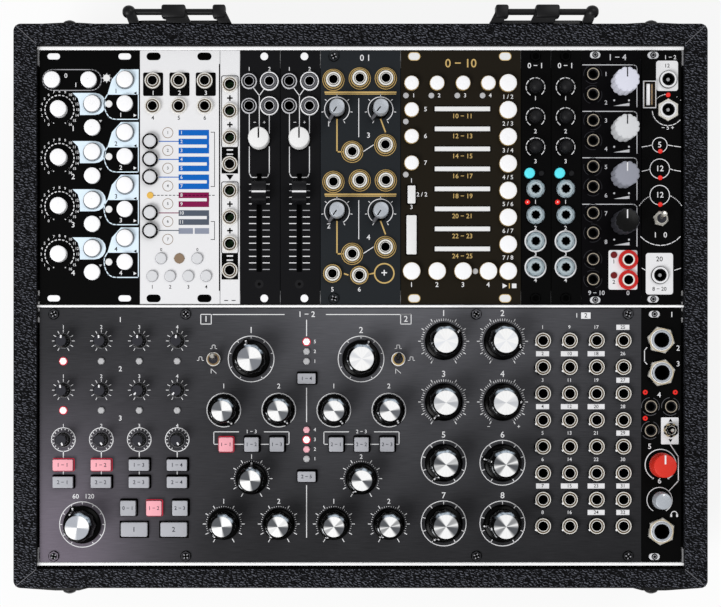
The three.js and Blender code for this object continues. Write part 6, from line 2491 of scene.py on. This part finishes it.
class CaseTrim:
    """The covering's seams, the strips at the rails, the steel plates of the case and the painted shade on
    the rails.
    """

    fit = 0.1
    upper = WallPlate(12, 24, 33, 43, 0.6, 2.9)
    lower = WallPlate(2.5, 21, 33, 38, 1.3, 3.5)

    def build(self) -> None:
        """Builds the trim on the covered case."""
        dress_node("case_box", COVERING)
        for node in ("upper_rail", "middle_rail", "lower_rail"):
            dress_node(node, GLOWING_RAIL_METAL)
        low, high = (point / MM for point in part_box("case_box"))
        walls = (low.y + self.lower.rivet, high.y - self.upper.rivet)
        low_rail, high_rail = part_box("lower_rail")[0] / MM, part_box("upper_rail")[1] / MM
        inner = high_rail.x + self.fit
        edges = (low_rail.y - self.fit, high_rail.y + self.fit)
        seams = Piece("covering_seams", SEAM)
        strips = Piece("rail_strips", RAIL_GREY)
        for across in (-1, 1):
            for out, wall, edge in zip((-1, 1), walls, edges):
                corner = Vector((across * high.x, wall, high.z))
                name = ("lower", "upper")[out > 0] + ("_left", "_right")[across > 0]
                (self.upper if out > 0 else self.lower).build(f"corner_plate_{name}", corner, -across, out)
                self.seam(seams, corner, Vector((across * inner, edge, high.z)))
                length, width = 9.1, 0.72
                middle = (across * (inner - 0.2 - width / 2), edge - out * (1.0 + length / 2))
                strips.stamp(cuboid(width, length, 1.2), seat(*middle, FRONT - 1.15))
        seams.finish("case", "covering")
        strips.finish("case", "aluminium")
        self.shades(edges, inner)

    def seam(self, piece: Piece, corner: Vector, inner: Vector) -> None:
        """Adds the mitre seam of one corner."""
        width, inset = 0.3, 0.11
        outer = corner.lerp(inner, inset)
        along, middle = inner - outer, (inner + outer) / 2
        turn = math.degrees(math.atan2(along.x, along.y))
        piece.stamp(cuboid(width, along.xy.length, 0.05), seat(middle.x, middle.y, corner.z - 0.01, turn))

    def shades(self, edges: Share, inner: float) -> None:
        """Lays painted shade on the rails: dark and grey bands along the outer edges of the outer rails, and
        dark lines along both edges of the middle rail.
        """
        dark, grey = Piece("rail_shades", BORE_BLACK), Piece("rail_bevel_shades", RAIL_GREY)
        low, high = edges
        below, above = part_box("voice_panel")[1].y / MM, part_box("clock_panel")[0].y / MM
        # Painted shade: dark and grey bands along the outer rails' edges and dark lines along the middle
        # rail's edges.
        lines = [(dark, high - 0.45, high - 0.12), (grey, high - 0.9, high - 0.45)]
        lines += [(dark, low + 0.12, low + 1.6), (dark, below, below + 0.3), (dark, above - 0.3, above)]
        for piece, start, end in lines:
            strip = cuboid(2 * (inner - 0.12), end - start, 0.5)
            piece.stamp(strip, seat(0, (start + end) / 2, FRONT + LIP_RISE - 0.46))
        dark.finish("case", "aluminium")
        grey.finish("case", "aluminium")


@dataclass(frozen=True)
class Hinge:
    """Half of a lift off hinge on the upper wall, drawn from its ball inwards.

    Attributes:
        node: The CAD node that it stands for.
        inwards: The sign of X from its ball inwards.
        radius: The radius of its ball and half the width of its knuckles.
        pin: The pin's radius.
        offset: How far the pin's axis stands off the wall.
        lean: How far its legs lean inwards.
        leaf: The leaf's length, thickness and depth.
        leaf_start: Where the leaf starts, counted from the ball.
        knuckles: Where each knuckle starts, and its length.
    """

    node: str
    inwards: int
    radius: float = 3.33
    pin: float = 1.6
    offset: float = 5.95
    lean: float = 3.0
    leaf: tuple[float, float, float] = (47.5, 1.75, 26.0)
    leaf_start: float = 4.0
    knuckles: tuple[Share, Share] = ((16.6, 12.2), (42.4, 6.6))

    def build(self) -> None:
        """Makes the piece in place of the node."""
        low, high = (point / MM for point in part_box(self.node))
        start = low.x if self.inwards > 0 else high.x
        ball = move(start + self.inwards * self.radius, low.y, high.z - self.radius)
        ball = ball @ move(0, 0, -0.02)
        along = Matrix.Rotation(math.radians(90 * self.inwards), 4, "Y")
        axis = ball @ move(0, self.offset, 0) @ along
        piece = Piece(f"{self.node}_half", HINGE_METAL, BLACK_METAL)
        piece.stamp(lathe(self.ball(), 24), axis)
        piece.stamp(lathe(((0, 0), (self.pin, 0), (self.pin, 43.4), (0, 43.4)), 20), axis)
        for first, length in self.knuckles:
            middle = move(self.inwards * (first + length / 2), self.offset, -self.radius)
            piece.stamp(cuboid(length, 2 * self.radius, 2 * self.radius, 1.1), ball @ middle)
            piece.stamp(self.leg(first, length, self.lean), ball)
        piece.stamp(self.leg(-2.2, 5.4, self.lean * 0.75), ball)
        length, thickness, depth = self.leaf
        tipped = Matrix.Rotation(math.radians(-90), 4, "X")
        centre = self.inwards * (self.leaf_start + length / 2)
        plate = ball @ move(centre, 0, -depth / 2) @ tipped
        piece.stamp(slab(rounded(length, depth, 3.0), 0, thickness, 0.3), plate, 1)
        head = lathe(((0, 0), (2.6, 0), (2.6, 0.35), (2.1, 0.8), (1.1, 1.0), (0, 1.0)), 20)
        for share in (-1 / 3, 1 / 3):
            screw = move(centre + share * length, thickness, -0.65 * depth) @ tipped
            piece.stamp(head, ball @ screw, 1)
        piece.finish("case", "hardware", self.node)

    def ball(self) -> Profile:
        """Gives the ball's profile, a little flattened at its poles."""
        turns, radius, flatness = spread(0.0, math.pi, 11), self.radius, 0.8
        return tuple((radius * math.sin(turn) ** flatness, -radius * math.cos(turn)) for turn in turns)

    def leg(self, first: float, length: float, lean: float) -> bpy.types.Mesh:
        """Makes the leaning leg that carries a knuckle."""
        last = first + length
        line = ((first, self.offset), (last, self.offset), (last + lean, 0), (first + lean, 0))
        outline = tuple((self.inwards * x, y) for x, y in line)
        return slab(outline, -self.radius + 0.1, self.radius - 1.0, 0.5)


def dress_plain_nodes() -> None:
    """Gives the CAD nodes that stay as they are their finishes."""
    plain = {
        "power_bus_board": BOARD_GREEN,
        "power_toggle": CHROME,
        "wave_toggle_1": CHROME,
        "wave_toggle_2": BLACK_METAL,
    }
    for node, finish in plain.items():
        dress_node(node, finish)
    for node in frame["nodes"]:
        if node.startswith("foot"):
            dress_node(node, RUBBER)


def main() -> None:
    """Builds the looks in order."""
    logging.basicConfig(level=logging.INFO, format="%(message)s")
    dress_plain_nodes()
    upper_row = (ClockModule(), QuantizerModule(), SumModule(), FaderModule("a"), FaderModule("b"))
    upper_row += (GateModule(), SequencerModule(), EffectsModule("a"), EffectsModule("b"), MixerModule())
    upper_row += (PowerModule(),)
    case = (CaseTrim(), Hinge("hinge_left", 1), Hinge("hinge_right", -1))
    for part in (*upper_row, VoiceModule(), OutputModule(), *case, Studio()):
        part.build()


if __name__ == "__main__":
    main()
